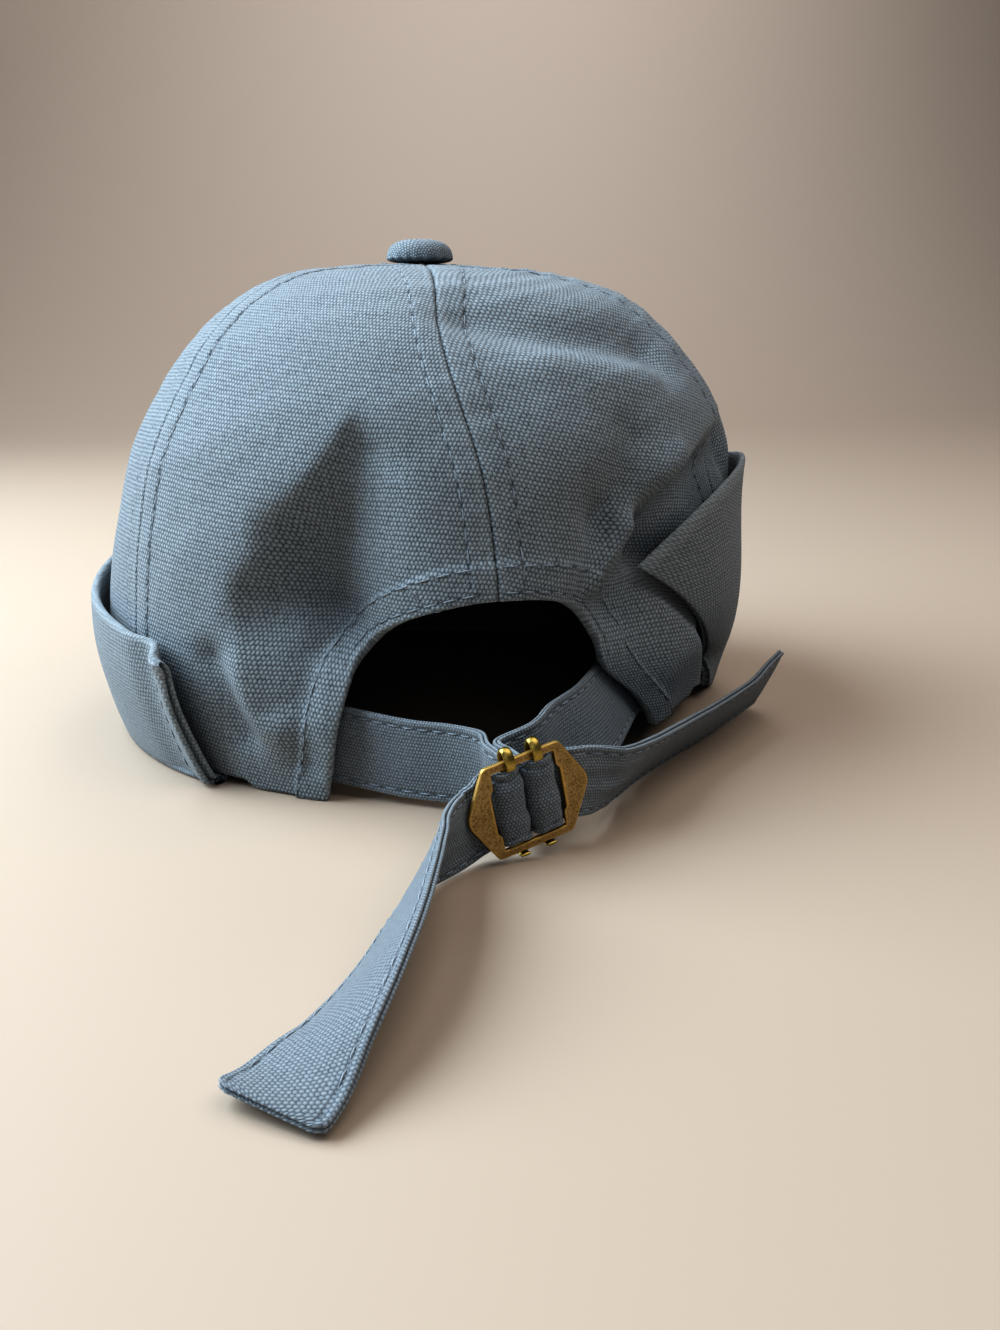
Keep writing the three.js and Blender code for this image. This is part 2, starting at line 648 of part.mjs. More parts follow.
// The part of a strap that is sewn inside its hem, against the crown's inner face.
function insideHem(places, slack) {
  const depth = CANVAS + GAP + STRAP_THICK / 2 + slack;
  return places.map(([angle, up]) => besideCrown(angle, up, -depth));
}

function strapStations(root, lean, run, side, tail) {
  const rows = [...root.map((p) => ({ at: p.toArray(), lean })), ...run];
  return [...leaning(rows, STRAP_WIDTH), ...throughBuckle(side), ...leaning(tail, STRAP_WIDTH)];
}

// ---- group ----

const cap = new THREE.Group();
cap.name = 'docker_cap';

function add(name, geometry, material) {
  const mesh = new THREE.Mesh(geometry, material);
  mesh.name = name;
  cap.add(mesh);
  return mesh;
}

const canvas = () => new THREE.MeshStandardMaterial({ color: 0x69737f, roughness: 0.9, metalness: 0 });
const brass = () => new THREE.MeshStandardMaterial({ color: 0x6b5330, roughness: 0.45, metalness: 1 });

for (const gore of GORES) add(gore.name, goreGeometry(gore), canvas());
add('top_button', buttonGeometry(), canvas()).position.z = SECTIONS[0].height + GAP;
add('cuff', cuffGeometry(), canvas());

const plate = add('buckle_frame', plateGeometry(), brass());
plate.position.copy(BUCKLE_MIDDLE);
plate.quaternion.setFromRotationMatrix(
  new THREE.Matrix4().makeBasis(BUCKLE_ACROSS, BUCKLE_UPRIGHT, BUCKLE_FACE),
);
add('buckle_bar_left', barGeometry(-1), brass());
add('buckle_bar_right', barGeometry(1), brass());

const leftRoot = insideHem([[237, 13], [240, 13]], 2.9);
const leftStations = strapStations(leftRoot, 0, LEFT_STRAP_RUN, -1, LEFT_STRAP_TAIL);
add('strap_left', strapGeometry(leftStations), canvas());

const rightRoot = insideHem([[300, 15], [297.5, 15]], 4.8);
const rightStations = strapStations(rightRoot, 20, RIGHT_STRAP_RUN, 1, RIGHT_STRAP_TAIL);
add('strap_right', strapGeometry(rightStations), canvas());

export default cap;
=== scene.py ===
# %% [markdown]
# # A docker cap in blue-grey cotton duck
# The real cap is sewn from six gores, with a turned-up cuff, a covered button, an arched back opening and
# a two-strap adjuster held by a cast slide buckle.  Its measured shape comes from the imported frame, and this
# lesson dresses it: fine cloth surfaces, sewn edges, thread, weave and metal.

# %% Load the frame
import math

import bpy
import numpy as np
from mathutils import Matrix, Vector


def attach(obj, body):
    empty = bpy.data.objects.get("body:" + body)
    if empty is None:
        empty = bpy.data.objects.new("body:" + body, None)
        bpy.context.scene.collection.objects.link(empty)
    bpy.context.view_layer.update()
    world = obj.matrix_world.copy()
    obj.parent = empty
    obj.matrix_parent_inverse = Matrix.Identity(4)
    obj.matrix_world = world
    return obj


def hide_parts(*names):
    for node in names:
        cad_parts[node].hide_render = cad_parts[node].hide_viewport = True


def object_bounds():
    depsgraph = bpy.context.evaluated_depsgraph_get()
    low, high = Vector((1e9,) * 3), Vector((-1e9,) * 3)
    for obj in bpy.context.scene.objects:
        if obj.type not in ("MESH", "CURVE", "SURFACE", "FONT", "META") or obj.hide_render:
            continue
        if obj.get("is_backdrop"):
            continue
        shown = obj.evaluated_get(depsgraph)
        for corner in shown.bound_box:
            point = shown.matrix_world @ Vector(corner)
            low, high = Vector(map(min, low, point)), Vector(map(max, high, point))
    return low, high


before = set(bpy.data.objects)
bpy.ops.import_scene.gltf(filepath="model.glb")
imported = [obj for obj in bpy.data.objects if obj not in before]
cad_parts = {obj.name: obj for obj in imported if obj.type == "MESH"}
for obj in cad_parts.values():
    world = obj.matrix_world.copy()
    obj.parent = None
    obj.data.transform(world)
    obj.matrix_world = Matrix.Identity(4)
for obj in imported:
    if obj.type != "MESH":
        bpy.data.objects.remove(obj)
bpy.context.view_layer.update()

MM = 0.001
print("frame nodes:", sorted(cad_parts))

# %% [markdown]
# ## Camera, light and floor
# The camera comes first, because everything is judged through it.  It stands behind the cap, a little to its
# left and slightly above.  A broad cool window high on the left behind the cap does most of the work.  A warmer
# light overhead on the right fills the shaded side, a faint one beside the camera opens the deepest shadows,
# and the last one lights only the far backdrop.

# %% Camera
CAMERA_TURN = math.radians(-14)
CAMERA_RISE = math.radians(16)
CAMERA_DISTANCE = 375.71 * MM
CAMERA_TARGET = Vector((22.19, -5.53, 9.63)) * MM

camera_back = Vector((
    math.sin(CAMERA_TURN) * math.cos(CAMERA_RISE),
    -math.cos(CAMERA_TURN) * math.cos(CAMERA_RISE),
    math.sin(CAMERA_RISE),
))
bpy.ops.object.camera_add(location=CAMERA_TARGET + camera_back * CAMERA_DISTANCE)
camera = bpy.context.object
camera.rotation_euler = (-camera_back).to_track_quat("-Z", "Y").to_euler()
camera.data.sensor_width = 36
camera.data.lens = 32.48
camera.data.clip_start = 0.01
bpy.context.scene.camera = camera
print("camera stands at", tuple(round(c / MM) for c in camera.location), "mm")

# %% Colours and nodes


def linear(hex_colour, alpha=1.0):
    """A colour written as sRGB hex, as the linear RGBA that Blender works in."""
    channels = [int(hex_colour[i:i + 2], 16) / 255 for i in (0, 2, 4)]
    return tuple(c / 12.92 if c <= 0.04045 else ((c + 0.055) / 1.055) ** 2.4 for c in channels) + (alpha,)


def new_material(name):
    """A material and its shader."""
    made = bpy.data.materials.new(name)
    made.use_nodes = True
    return made, made.node_tree.nodes["Principled BSDF"]


def add_node(material, kind, inputs, output=0, **settings):
    """Adds a node and returns one of its outputs.  Inputs are a list in the order of its sockets, or a dict by
    their names or numbers; each is linked if it is an output of another node and set if it is a value."""
    made = material.node_tree.nodes.new("ShaderNode" + kind)
    for name, value in settings.items():
        setattr(made, name, value)
    for key, value in inputs.items() if isinstance(inputs, dict) else enumerate(inputs):
        if isinstance(value, bpy.types.NodeSocket):
            material.node_tree.links.new(value, made.inputs[key])
        else:
            made.inputs[key].default_value = value
    return made.outputs[output]


def finish_shader(material, shader, linked, **values):
    """Links outputs to the shader's sockets, and sets values that are the same all over it."""
    for name, output in linked.items():
        material.node_tree.links.new(output, shader.inputs[name])
    for name, value in values.items():
        shader.inputs[name.replace("_", " ")].default_value = value


# %% Lights
CAP_MIDDLE = (0, 0, 0.06)


def soft_light(name, place, size, power, hex_colour, aim=CAP_MIDDLE):
    """A square light of that size in metres, with its power in watts."""
    bpy.ops.object.light_add(type="AREA", location=place)
    light = bpy.context.object
    light.name = name
    light.rotation_euler = (Vector(aim) - Vector(place)).to_track_quat("-Z", "Y").to_euler()
    light.data.size = size
    light.data.energy = power
    light.data.color = linear(hex_colour)[:3]


soft_light("window_light", (-0.54, 0.12, 0.56), 0.8, 16.0, "dcefff")
soft_light("ceiling_light", (0.45, -0.25, 1.15), 1.2, 8.5, "f6f2ee")
soft_light("camera_side_light", (-0.1, -0.95, 0.45), 0.6, 0.7, "eef0f6")
soft_light("backdrop_light", (0.5, 1.1, 1.5), 0.8, 18.0, "dde6f4", aim=(0, 2.2, 0.5))

world = bpy.data.worlds.new("pale_room")
world.use_nodes = True
room = world.node_tree.nodes["Background"].inputs
room["Color"].default_value = linear("c3d2ee")
room["Strength"].default_value = 0.1
bpy.context.scene.world = world
bpy.context.scene.view_settings.view_transform = "Standard"
bpy.context.scene.view_settings.look = "High Contrast"

# %% Floor
# Matt paint takes soft shadows and gives no reflections.
FLOOR_WIDTH, FLOOR_LENGTH = 8, 6
FLOOR_BEFORE = 2  # how far it reaches towards the camera, metres
SWEEP_START = 0.9  # where it begins to curve up behind the cap
SWEEP_RADIUS = 0.8


def select_only(*pieces):
    """Selects these pieces and nothing else; the first is the active one."""
    bpy.ops.object.select_all(action="DESELECT")
    for piece in reversed(pieces):
        piece.select_set(True)
        bpy.context.view_layer.objects.active = piece


select_only()
bpy.ops.mesh.primitive_grid_add(x_subdivisions=1, y_subdivisions=60, size=1)
floor = bpy.context.object
floor.name = "floor"
for vertex in floor.data.vertices:
    run = (vertex.co.y + 0.5) * FLOOR_LENGTH - FLOOR_BEFORE
    turn = min(max((run - SWEEP_START) / SWEEP_RADIUS, 0), math.pi / 2)
    beyond = max(run - SWEEP_START - SWEEP_RADIUS * math.pi / 2, 0)
    vertex.co = Vector((vertex.co.x * FLOOR_WIDTH, min(run, SWEEP_START) + SWEEP_RADIUS * math.sin(turn),
                        SWEEP_RADIUS * (1 - math.cos(turn)) + beyond))
bpy.ops.object.shade_smooth()
pale_floor, floor_shader = new_material("pale painted board")
finish_shader(pale_floor, floor_shader, {}, Base_Color=linear("a99785"), Roughness=0.7)
floor.data.materials.append(pale_floor)
floor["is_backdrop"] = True
print("floor:", FLOOR_WIDTH, "x", FLOOR_LENGTH, "m")

# %% [markdown]
# ## Cotton duck canvas
# Duck is a dense plain weave: rows of short plump floats, each row shifted by half a float against the next.
# It is matt and its floats catch the light; the shade in each pore between them is painted as a darker colour.
# The yarn is uneven, which shows as faint streaks.  The pattern is drawn from each piece's own UV map, which
# holds millimetres along and across the cut, so that the grain runs with every gore and strap as it does when
# they are cut from the bolt.

# %% Canvas material
ROW_SPACING = 1.08  # between rows of floats, millimetres
FLOAT_SPACING = 1.0  # between floats in a row
YARN_WANDER = 0.7  # how far uneven yarn bends the rows
WEAVE_DEPTH = 0.35 * MM


def canvas_material(name, floats, pore_shade, rubbed, finer=1.0):
    """Canvas with the given sRGB colours for its floats, for the painted shade in each pore and for where it is
    rubbed.
    """
    made, shader = new_material(name)

    def node(kind, inputs, output=0, **settings):
        return add_node(made, kind, inputs, output, **settings)

    mixed = {"output": 2, "data_type": "RGBA", "clamp_factor": True}
    cut = node("UVMap", [], uv_map="UVMap")
    place = node("Mapping", {"Vector": cut, "Scale": (finer, finer, 1.0)})
    wander = node("TexNoise", {"Vector": place, "Scale": 0.35, "Detail": 2.0}, "Color")
    bent = node("VectorMath", [wander, (YARN_WANDER, YARN_WANDER, 0.0), place], operation="MULTIPLY_ADD")
    weft = node("SeparateXYZ", [bent])
    across = node("Math", [weft, 2 * math.pi / FLOAT_SPACING], operation="MULTIPLY")
    across = node("Math", [across], operation="COSINE")
    row = node("Math", [weft.node.outputs[1], math.pi / ROW_SPACING], operation="MULTIPLY")
    row = node("Math", [row], operation="COSINE")
    # The row's wave changes its sign from row to row, which moves every second row by half a float.
    float_up = node("Math", [node("Math", [row, across], operation="ADD"), row], operation="MULTIPLY")
    float_up = node("Math", [node("Math", [float_up, 0.5], operation="MULTIPLY"), 0.0], operation="MAXIMUM")
    plump = node("Math", [float_up, 0.6], operation="POWER")  # for its height
    # Shade in each pore is painted: this mask runs from the floats' colour down to the dark pore colour.
    weave = node("Math", [float_up, 0.36], operation="POWER")  # for its colour

    # Slubs: each yarn's own thickness and dye, as streaks along both directions.
    stretched = node("Mapping", {"Vector": place, "Scale": (0.04, 1.0, 1.0)})
    upright = node("Mapping", {"Vector": place, "Scale": (0.9, 0.05, 1.0)})
    weft_streak, warp_streak = (node("TexNoise", {"Vector": v, "Scale": 1.0}) for v in (stretched, upright))
    streak = node("Math", [weft_streak, warp_streak], operation="ADD")
    fuzz = node("TexNoise", {"Vector": place, "Scale": 3.1, "Detail": 3.0})
    uneven = node("TexNoise", {"Vector": place, "Scale": 0.8, "Detail": 1.0})

    # Light floats with painted shade in each pore, then the pale rubbed places and painted shade in the needle
    # holes.
    tone = node("Math", [weave, 0.7, -0.5], operation="MULTIPLY_ADD")
    for pattern, strength in ((streak, 0.2), (fuzz, 0.5), (uneven, 0.5)):
        tone = node("Math", [pattern, strength, tone], operation="MULTIPLY_ADD")
    cloth = node("Mix", {0: tone, 6: linear(pore_shade), 7: linear(floats)}, **mixed)
    rub = node("Attribute", [], "Fac", attribute_name="rub")
    patchy = node("Math", [node("Math", [fuzz, 1.3], operation="MULTIPLY"), rub], operation="MULTIPLY")
    worn = node("Mix", {0: patchy, 6: cloth, 7: linear(rubbed)}, **mixed)
    # Painted shade darkens each needle hole.
    needle_hole_shade = node("Attribute", [], "Fac", attribute_name="needle_hole_shade")
    hole_shaded = node("Mix", {0: needle_hole_shade, 6: worn, 7: linear("1f252c")}, **mixed)

    height = node("Math", [fuzz, 0.25, plump], operation="MULTIPLY_ADD")
    bump = node("Bump", {"Height": height, "Strength": 0.45, "Distance": WEAVE_DEPTH})
    finish_shader(made, shader, {"Base Color": hole_shaded, "Normal": bump}, Roughness=0.88, Sheen_Weight=0.12,
                  Sheen_Roughness=0.5, Specular_IOR_Level=0.25)
    print("material:", name)
    return made


# Each takes the colour of its floats, the painted shade in each pore, and its rubbed colour.
canvas = canvas_material("cotton duck canvas", "949ca0", "30373c", "a6acaf")
strap_canvas = canvas_material("cotton duck canvas of the straps", "888f93", "3e454b", "9ba1a5", 1.25)
cuff_canvas = canvas_material("cotton duck canvas of the cuff", "90979a", "454d52", "a2a8ab", 1.05)

# %% [markdown]
# ## The crown's surface
# All the cloth is laid on one surface.  A place on it is an angle in degrees round the rim, anticlockwise
# from +X, and a length of cloth in millimetres above the lower edge.  Level sections give the plain shape,
# folds push it in or out, and pinned places carry the crushed right corner.  They start from the values that
# the frame was made with and shape its folds further, so the fine cloth lies close to the plain solids.

# %% Level sections
SECTIONS = {
    "height": [128.6, 127.6, 125.6, 120.5, 111.5, 97, 82, 66, 48, 28, 12, 0],
    "left": [3, 23, 40, 53, 65, 76, 84.5, 89, 92, 93, 90.5, 87.5],
    "right": [3, 22, 41, 58, 70, 82, 90, 92, 93, 93.5, 91.5, 89],
    "back": [3, 14, 30, 49, 65, 79, 87, 91, 93.5, 93.5, 91.5, 89.5],
    "front": [3, 20, 36, 50, 61, 72, 79, 83, 85, 85, 84, 82],
}
BACK_SEAM = 270  # its angle
RIM_REACH = 91.0  # turns degrees into millimetres of cloth near the rim
CANVAS = 1.4  # thickness of the crown's canvas

drops = -np.diff(SECTIONS["height"])
spreads = np.diff(SECTIONS["left"])
UP = np.append(np.cumsum(np.hypot(drops, spreads)[::-1])[::-1], 0.0)
CROWN_UP = UP[0]
print(f"cloth from rim to button: {CROWN_UP:.1f} mm")

# %% Folds and pins


def make_fold(line, width, depth, crease=False, fall=2, opens=1, fades=0.6):
    """A fold along a line of (angle, up) places.  A soft fold is even on both sides.  A crease has its edge on
    the line and its hollow on the line's left only; fall says how steeply the hollow ends, opens what share of
    its width it starts with, and fades how many widths it runs on past its ends."""
    return {"line": line, "width": width, "depth": depth, "crease": crease, "fall": fall, "opens": opens,
            "fades": fades}


FOLDS = [
    make_fold([(246.8, 91), (239.6, 76), (233.4, 62)], 21, -13.5, crease=True, fall=1.5, opens=0.35,
              fades=0.75),
    make_fold([(233, 61), (240, 38)], 11, -5.6, crease=True),
    make_fold([(228.5, 50), (232.5, 24)], 8, -3.0, crease=True),
    make_fold([(240.3, 36), (240.6, 10)], 4, -1.8),
    make_fold([(233, 33), (236, 22)], 9, 2.5),
    make_fold([(225, 34), (230, 16)], 4.5, -2.5),
    make_fold([(277, 124), (313, 113)], 8, -4.2),
    make_fold([(288, 108), (305, 104)], 7, 1.6),
    make_fold([(168, 112), (172, 70)], 26, -4.5),
    make_fold([(297, 88), (288, 68)], 6, -3),
    make_fold([(288, 68), (285, 50)], 5, -2.5),
    make_fold([(306, 82), (292, 66)], 4.5, 2),
    make_fold([(292, 66), (288, 52)], 4, 1.5),
    make_fold([(337, 92), (318, 87), (303, 77), (292, 63), (287, 53)], 11, -7, crease=True),
    make_fold([(293, 64), (317, 6)], 8, -5, crease=True),
]
# The back seam leans to the left round this place, over these millimetres of cloth along and up.
LEAN_AT, LEAN_ALONG, LEAN_UP, LEAN_BY = (BACK_SEAM, 114), 36, 32, np.array([-7.5, 0, 0])
# Cloth on the right is carried round from the angle start to the angle end, by turn degrees where it is full:
# all of it under one height, and none of it over the other.
SIDE_TURN = {"start": 300, "full": 322, "end": 450, "turn": 18, "under": 30, "over": 78}
# Each pin is a place on the cloth and the point that it is held at.
PINS = [
    ((297, 0), (53, -66, 10)), ((295, 15), (43, -70, 21)), ((293, 31), (30, -80, 31)),
    ((288.5, 41), (25, -85, 40)), ((292, 62), (37, -78, 62)), ((303, 36), (54, -62, 42)),
    ((315, 9), (73, -41, 18)), ((308, 0), (68, -43, 10)), ((321, 4), (80, -27, 7)),
    ((309, 47), (46, -67, 53)), ((320, 58), (61, -58, 66)),
]
PIN_REACH = 13.0  # how far a pin pulls, millimetres
PIN_FADE = 0.25  # the larger, the sooner its pull gives way
print(len(FOLDS), "folds and", len(PINS), "pins")

# %% Plain crown


def wrap(degrees):
    return (degrees + 540) % 360 - 180


def smoothstep(low, high, x):
    t = np.clip((x - low) / (high - low), 0, 1)
    return t * t * (3 - 2 * t)


def between(first, last, share):
    return first + (last - first) * share


def bell(distance, width):
    """1 in the middle, falling off over a width to both sides."""
    return np.exp(-((distance / width) ** 2))


def section_value(column, up):
    """Smooth value of one column of the sections at a length of cloth above the lower edge."""
    values = np.array(SECTIONS[column], float)
    spans = np.diff(values) / np.diff(UP)
    slope = np.concatenate([spans[:1], (values[2:] - values[:-2]) / (UP[2:] - UP[:-2]), spans[-1:]])
    i = np.clip(np.searchsorted(-UP, -up, side="left") - 1, 0, len(values) - 2)
    span = UP[i + 1] - UP[i]
    t = (up - UP[i]) / span
    eased = between(values[i], values[i + 1], t * t * (3 - 2 * t))
    return eased + span * (t * (1 - t) ** 2 * slope[i] - t * t * (1 - t) * slope[i + 1])


def side_turn(angle, up):
    """How far low cloth on the right is carried round, in degrees."""
    start, full, end = (SIDE_TURN[angle_name] for angle_name in ("start", "full", "end"))
    turned = wrap(angle - full) + full
    rising = np.clip((turned - start) / (full - start), 0, 1)
    falling = np.clip((end - turned) / (end - full), 0, 1)
    low = 1 - smoothstep(SIDE_TURN["under"], SIDE_TURN["over"], up)
    return SIDE_TURN["turn"] * np.minimum(rising, falling) * low


def plain_crown(angle, up):
    """The crown before it is creased: points in millimetres."""
    angle, up = np.broadcast_arrays(np.asarray(angle, float), np.asarray(up, float))
    carried = np.radians(angle + side_turn(angle, up))
    c, s = np.cos(carried), np.sin(carried)
    side = np.where(c > 0, section_value("right", up), section_value("left", up))
    depth = np.where(s > 0, section_value("front", up), section_value("back", up))
    return np.stack([side * c, depth * s, section_value("height", up)], -1)


def reach_at(angle, up):
    """How far a place is from the crown's middle line."""
    return np.linalg.norm(plain_crown(angle, up)[..., :2], axis=-1)


def unit(vector):
    vector = np.asarray(vector, float)
    return vector / np.linalg.norm(vector, axis=-1, keepdims=True)


def normal_of(surface, angle, up, step=0.5):
    """The surface's outward unit normal."""
    across = surface(angle + step, up) - surface(angle - step, up)
    return unit(np.cross(across, surface(angle, up + step) - surface(angle, up - step)))


# %% Creased crown
CREASE_EDGE = 0.12  # how soft the edge of a crease is, as a share of its width


def fold_share(fold, angle, up, reach):
    """How much of a fold's depth a place has."""
    last = len(fold["line"]) - 2
    nearest = np.full(np.shape(angle), np.inf)
    aside, over, run, before = (np.zeros(nearest.shape) for _ in range(4))
    for k, (start, end) in enumerate(zip(fold["line"], fold["line"][1:])):
        x, y = np.radians(wrap(angle - start[0])) * reach, up - start[1]
        dx, dy = math.radians(wrap(end[0] - start[0])) * reach, end[1] - start[1]
        length = np.hypot(dx, dy)
        along = (x * dx + y * dy) / length
        past = along - np.clip(along, 0, length)
        beside = (y * dx - x * dy) / length
        distance = np.hypot(beside, past)
        at_end = (past < 0) & (k == 0) | (past > 0) & (k == last)
        closer = distance < nearest
        nearest = np.where(closer, distance, nearest)
        aside = np.where(closer, np.where(at_end, beside, np.copysign(distance, beside)), aside)
        over = np.where(closer, np.where(at_end, past, 0), over)
        run = np.where(closer, before + along - past, run)
        before = before + length
    opened = between(fold["opens"], 1, run / before)
    aside, over = aside / (fold["width"] * opened), over / (fold["width"] * opened)
    if not fold["crease"]:
        return opened * np.exp(-aside * aside - over ** 2)
    inside = (aside + np.hypot(aside, CREASE_EDGE)) / 2
    steepness = (1 - inside ** fold["fall"]) / fold["fall"]
    return opened * inside * np.exp(steepness - (over / fold["fades"]) ** 2)


PIN_MOVES = [np.array(held, float) - plain_crown(*place) for place, held in PINS]


def nearness(angle, up, place, reach, along, upward):
    """1 at a place on the cloth, falling off over lengths of cloth along and upward."""
    x = np.radians(wrap(angle - place[0])) * reach / along
    y = (up - place[1]) / upward
    return np.exp(-(x * x + y * y))[..., None]


def pinned(angle, up):
    """How the pinned places pull the cloth around them."""
    shares = [nearness(angle, up, place, RIM_REACH, PIN_REACH, PIN_REACH) for place, _ in PINS]
    return sum(share * by for share, by in zip(shares, PIN_MOVES)) / (PIN_FADE + sum(shares))


def crown(angle, up):
    """The crown's outer face."""
    angle, up = np.broadcast_arrays(np.asarray(angle, float), np.asarray(up, float))
    reach = reach_at(angle, up)
    out = sum(fold["depth"] * fold_share(fold, angle, up, reach) for fold in FOLDS)
    folded = plain_crown(angle, up) + normal_of(plain_crown, angle, up) * out[..., None]
    lean = nearness(angle, up, LEAN_AT, reach, LEAN_ALONG, LEAN_UP) * LEAN_BY
    return folded + lean + pinned(angle, up)


print("button sits at height", round(float(crown(BACK_SEAM, CROWN_UP)[2]), 1), "mm")

# %% [markdown]
# ## Gores
# A gore is one cut of canvas, folded under along each seam and hemmed round the back opening.  Each is made
# from a grid primitive: Solidify gives it its second face, and then its points are laid on the crown's
# surface in code, the way a sculptor would push them, with the first half of the points on the outside and
# the second half inside.  Along a seam the cloth rolls down into a groove and its turned-in allowance makes
# a flat ridge as far as the topstitching, which draws the cloth in.

# %% A piece of cloth from its two faces


def lay_flat(mesh, places):
    """Writes each point's place on the cut into the UV map, in millimetres."""
    corners = np.empty(len(mesh.loops), np.int32)
    mesh.loops.foreach_get("vertex_index", corners)
    uv_map = mesh.uv_layers[0] if mesh.uv_layers else mesh.uv_layers.new()
    uv_map.name = "UVMap"
    uv_map.data.foreach_set("uv", places[corners].astype(np.float32).ravel())


def cloth_piece(name, outer, inner, flat, rub, needle_hole_shade, material=canvas):
    """A closed piece of cloth.  outer and inner are rows x columns of points in millimetres, rows going up and
    columns to the right as seen from outside; flat is each point's place on the cut, in millimetres.  rub says
    where it is rubbed pale, and the mask after it how much painted shade darkens the needle holes, both from 0
    to 1."""
    rows, columns = outer.shape[:2]
    select_only()
    bpy.ops.mesh.primitive_grid_add(x_subdivisions=columns - 1, y_subdivisions=rows - 1, size=1)
    piece = bpy.context.object
    piece.name = piece.data.name = name
    piece.modifiers.new("second face", "SOLIDIFY").thickness = 0.1
    bpy.ops.object.modifier_apply(modifier="second face")
    mesh = piece.data
    points = np.concatenate([outer.reshape(-1, 3), inner.reshape(-1, 3)]) * MM
    mesh.vertices.foreach_set("co", points.astype(np.float32).ravel())
    lay_flat(mesh, np.concatenate([flat.reshape(-1, 2)] * 2))
    # The second attribute holds the painted shade of the needle holes.
    for label, values in (("rub", rub), ("needle_hole_shade", needle_hole_shade)):
        marks = mesh.attributes.new(label, "FLOAT", "POINT")
        marks.data.foreach_set("value", np.concatenate([values.ravel()] * 2).astype(np.float32))
    mesh.update()
    bpy.ops.object.shade_smooth()
    mesh.materials.append(material)
    return piece


# %% The back opening
OPENING_TOP = 51.5  # cloth height of the arch
OPENING_SPRING = 31.0  # where the upright hems end and the arch begins
OPENING_FOOT_HALF = 27.0  # half-width of the opening at the rim, degrees
OPENING_ARCH = {-1: (22.5, 1.8), 1: (20.7, 2.5)}  # half-width at its spring and squareness, left and right
EDGE_SPACING = 0.2  # between the points of its edge, millimetres
HEM_LIFT = 0.2  # height of the upright hems' lower ends
CUFF_FOOT = 1.9  # height of the crown's edge inside the cuff's fold
SEAM_GAP = 0.5  # between the cuff's fold and the gores' lower ends


def opening_half(up, side):
    """Half-width of the back opening, in degrees, at a height of cloth; the crushed right side is squarer."""
    spring_half, squareness = OPENING_ARCH[side]
    low = between(OPENING_FOOT_HALF, spring_half, up / OPENING_SPRING)
    rise = np.clip((up - OPENING_SPRING) / (OPENING_TOP - OPENING_SPRING), 0, 1)
    high = spring_half * (1 - rise ** squareness) ** (1 / squareness)
    return np.where(up <= OPENING_SPRING, low, high)


def length_so_far(points):
    """How far along a line of points each point is."""
    return np.append(0, np.cumsum(np.linalg.norm(np.diff(points, axis=0), axis=1)))


def at_lengths(wanted, along, values):
    """Values, such as points, at the wanted lengths along a line."""
    return np.stack([np.interp(wanted, along, column) for column in values.T], -1)


def in_rim_mm(line):
    """A line of (angle, up) places as millimetres of cloth near the rim, from the back seam's foot."""
    return np.stack([np.radians(line[:, 0] - BACK_SEAM) * RIM_REACH, line[:, 1]], -1)


def evenly(line, count):
    """count places spaced evenly along a line of (angle, up) places."""
    along = length_so_far(in_rim_mm(line))
    return at_lengths(np.linspace(0, along[-1], count), along, line)


def opening_line(up, side):
    """The edge at heights of cloth; side is -1 for the left and 1 for the right."""
    return np.stack([BACK_SEAM + side * opening_half(up, side), up], -1)


def arch_line(side, count):
    """The arch from its spring to the back seam."""
    rise = np.sin(np.linspace(0, math.pi / 2, 200))
    return evenly(opening_line(between(OPENING_SPRING, OPENING_TOP, rise), side), count)


def hem_line(side, count):
    """The upright hem, from the rim to the arch's spring."""
    return opening_line(np.linspace(HEM_LIFT, OPENING_SPRING, count), side)


def opening_edge(side):
    """The whole edge on one side, in close steps, and its length."""
    line = np.concatenate([hem_line(side, 120)[:-1], arch_line(side, 200)])
    length = length_so_far(in_rim_mm(line))[-1]
    return evenly(line, int(length / EDGE_SPACING)), length


def opening_distance(angle, up, side):
    """Distance of places from the edge of the opening, and how far along the edge they are."""
    edge, length = opening_edge(side)
    best = np.full(np.shape(angle), np.inf)
    along = np.zeros(np.shape(angle))
    for place, (edge_angle, edge_up) in zip(np.linspace(0, length, len(edge)), edge):
        away = np.hypot(np.radians(angle - edge_angle) * RIM_REACH, up - edge_up)
        along = np.where(away < best, place, along)
        best = np.minimum(best, away)
    return best, along


# %% Where a gore's rows and columns lie
# Name, the angles of its two seams, the spacing of its points in millimetres and the tilt of its grain.
GORES = [
    ("gore_back_left", 206, BACK_SEAM, 0.85, -5), ("gore_back_right", BACK_SEAM, 330, 0.85, -16),
    ("gore_right", 330, 390, 1.1, 0), ("gore_front_right", 30, 90, 1.2, 0),
    ("gore_front_left", 90, 150, 1.2, 0), ("gore_left", 150, 206, 1.1, 0),
]
# How far from a seam its closest columns lie: close at the groove and at the topstitching.
EDGE_COLUMNS = np.array([0, 0.25, 0.5, 0.8, 1.2, 1.6, 1.85, 2.1, 2.4, 2.9, 3.7, 4.6, 5.4, 5.85, 6.2, 6.5, 6.8,
                         7.3, 7.65, 7.95, 8.2, 8.5, 8.9, 9.5, 10.3])
HEM_ROWS = 0.19  # share of a back gore's rows that end on its upright hem
ARCH_ROWS = 0.478  # and share below the back seam's foot
SIDE_AT_SPRING = 38.0  # height on the side seam of the row that meets the arch's spring
SIDE_AT_TOP = 100.0  # and of the one that meets the arch's top
LOW_CLOTH = 20.0  # cloth below this height is squeezed up to where the gore ends


def opening_side(gore):
    """-1 and 1 for the gores on the left and right of the back opening, 0 for the others."""
    return {"gore_back_left": -1, "gore_back_right": 1}.get(gore[0], 0)


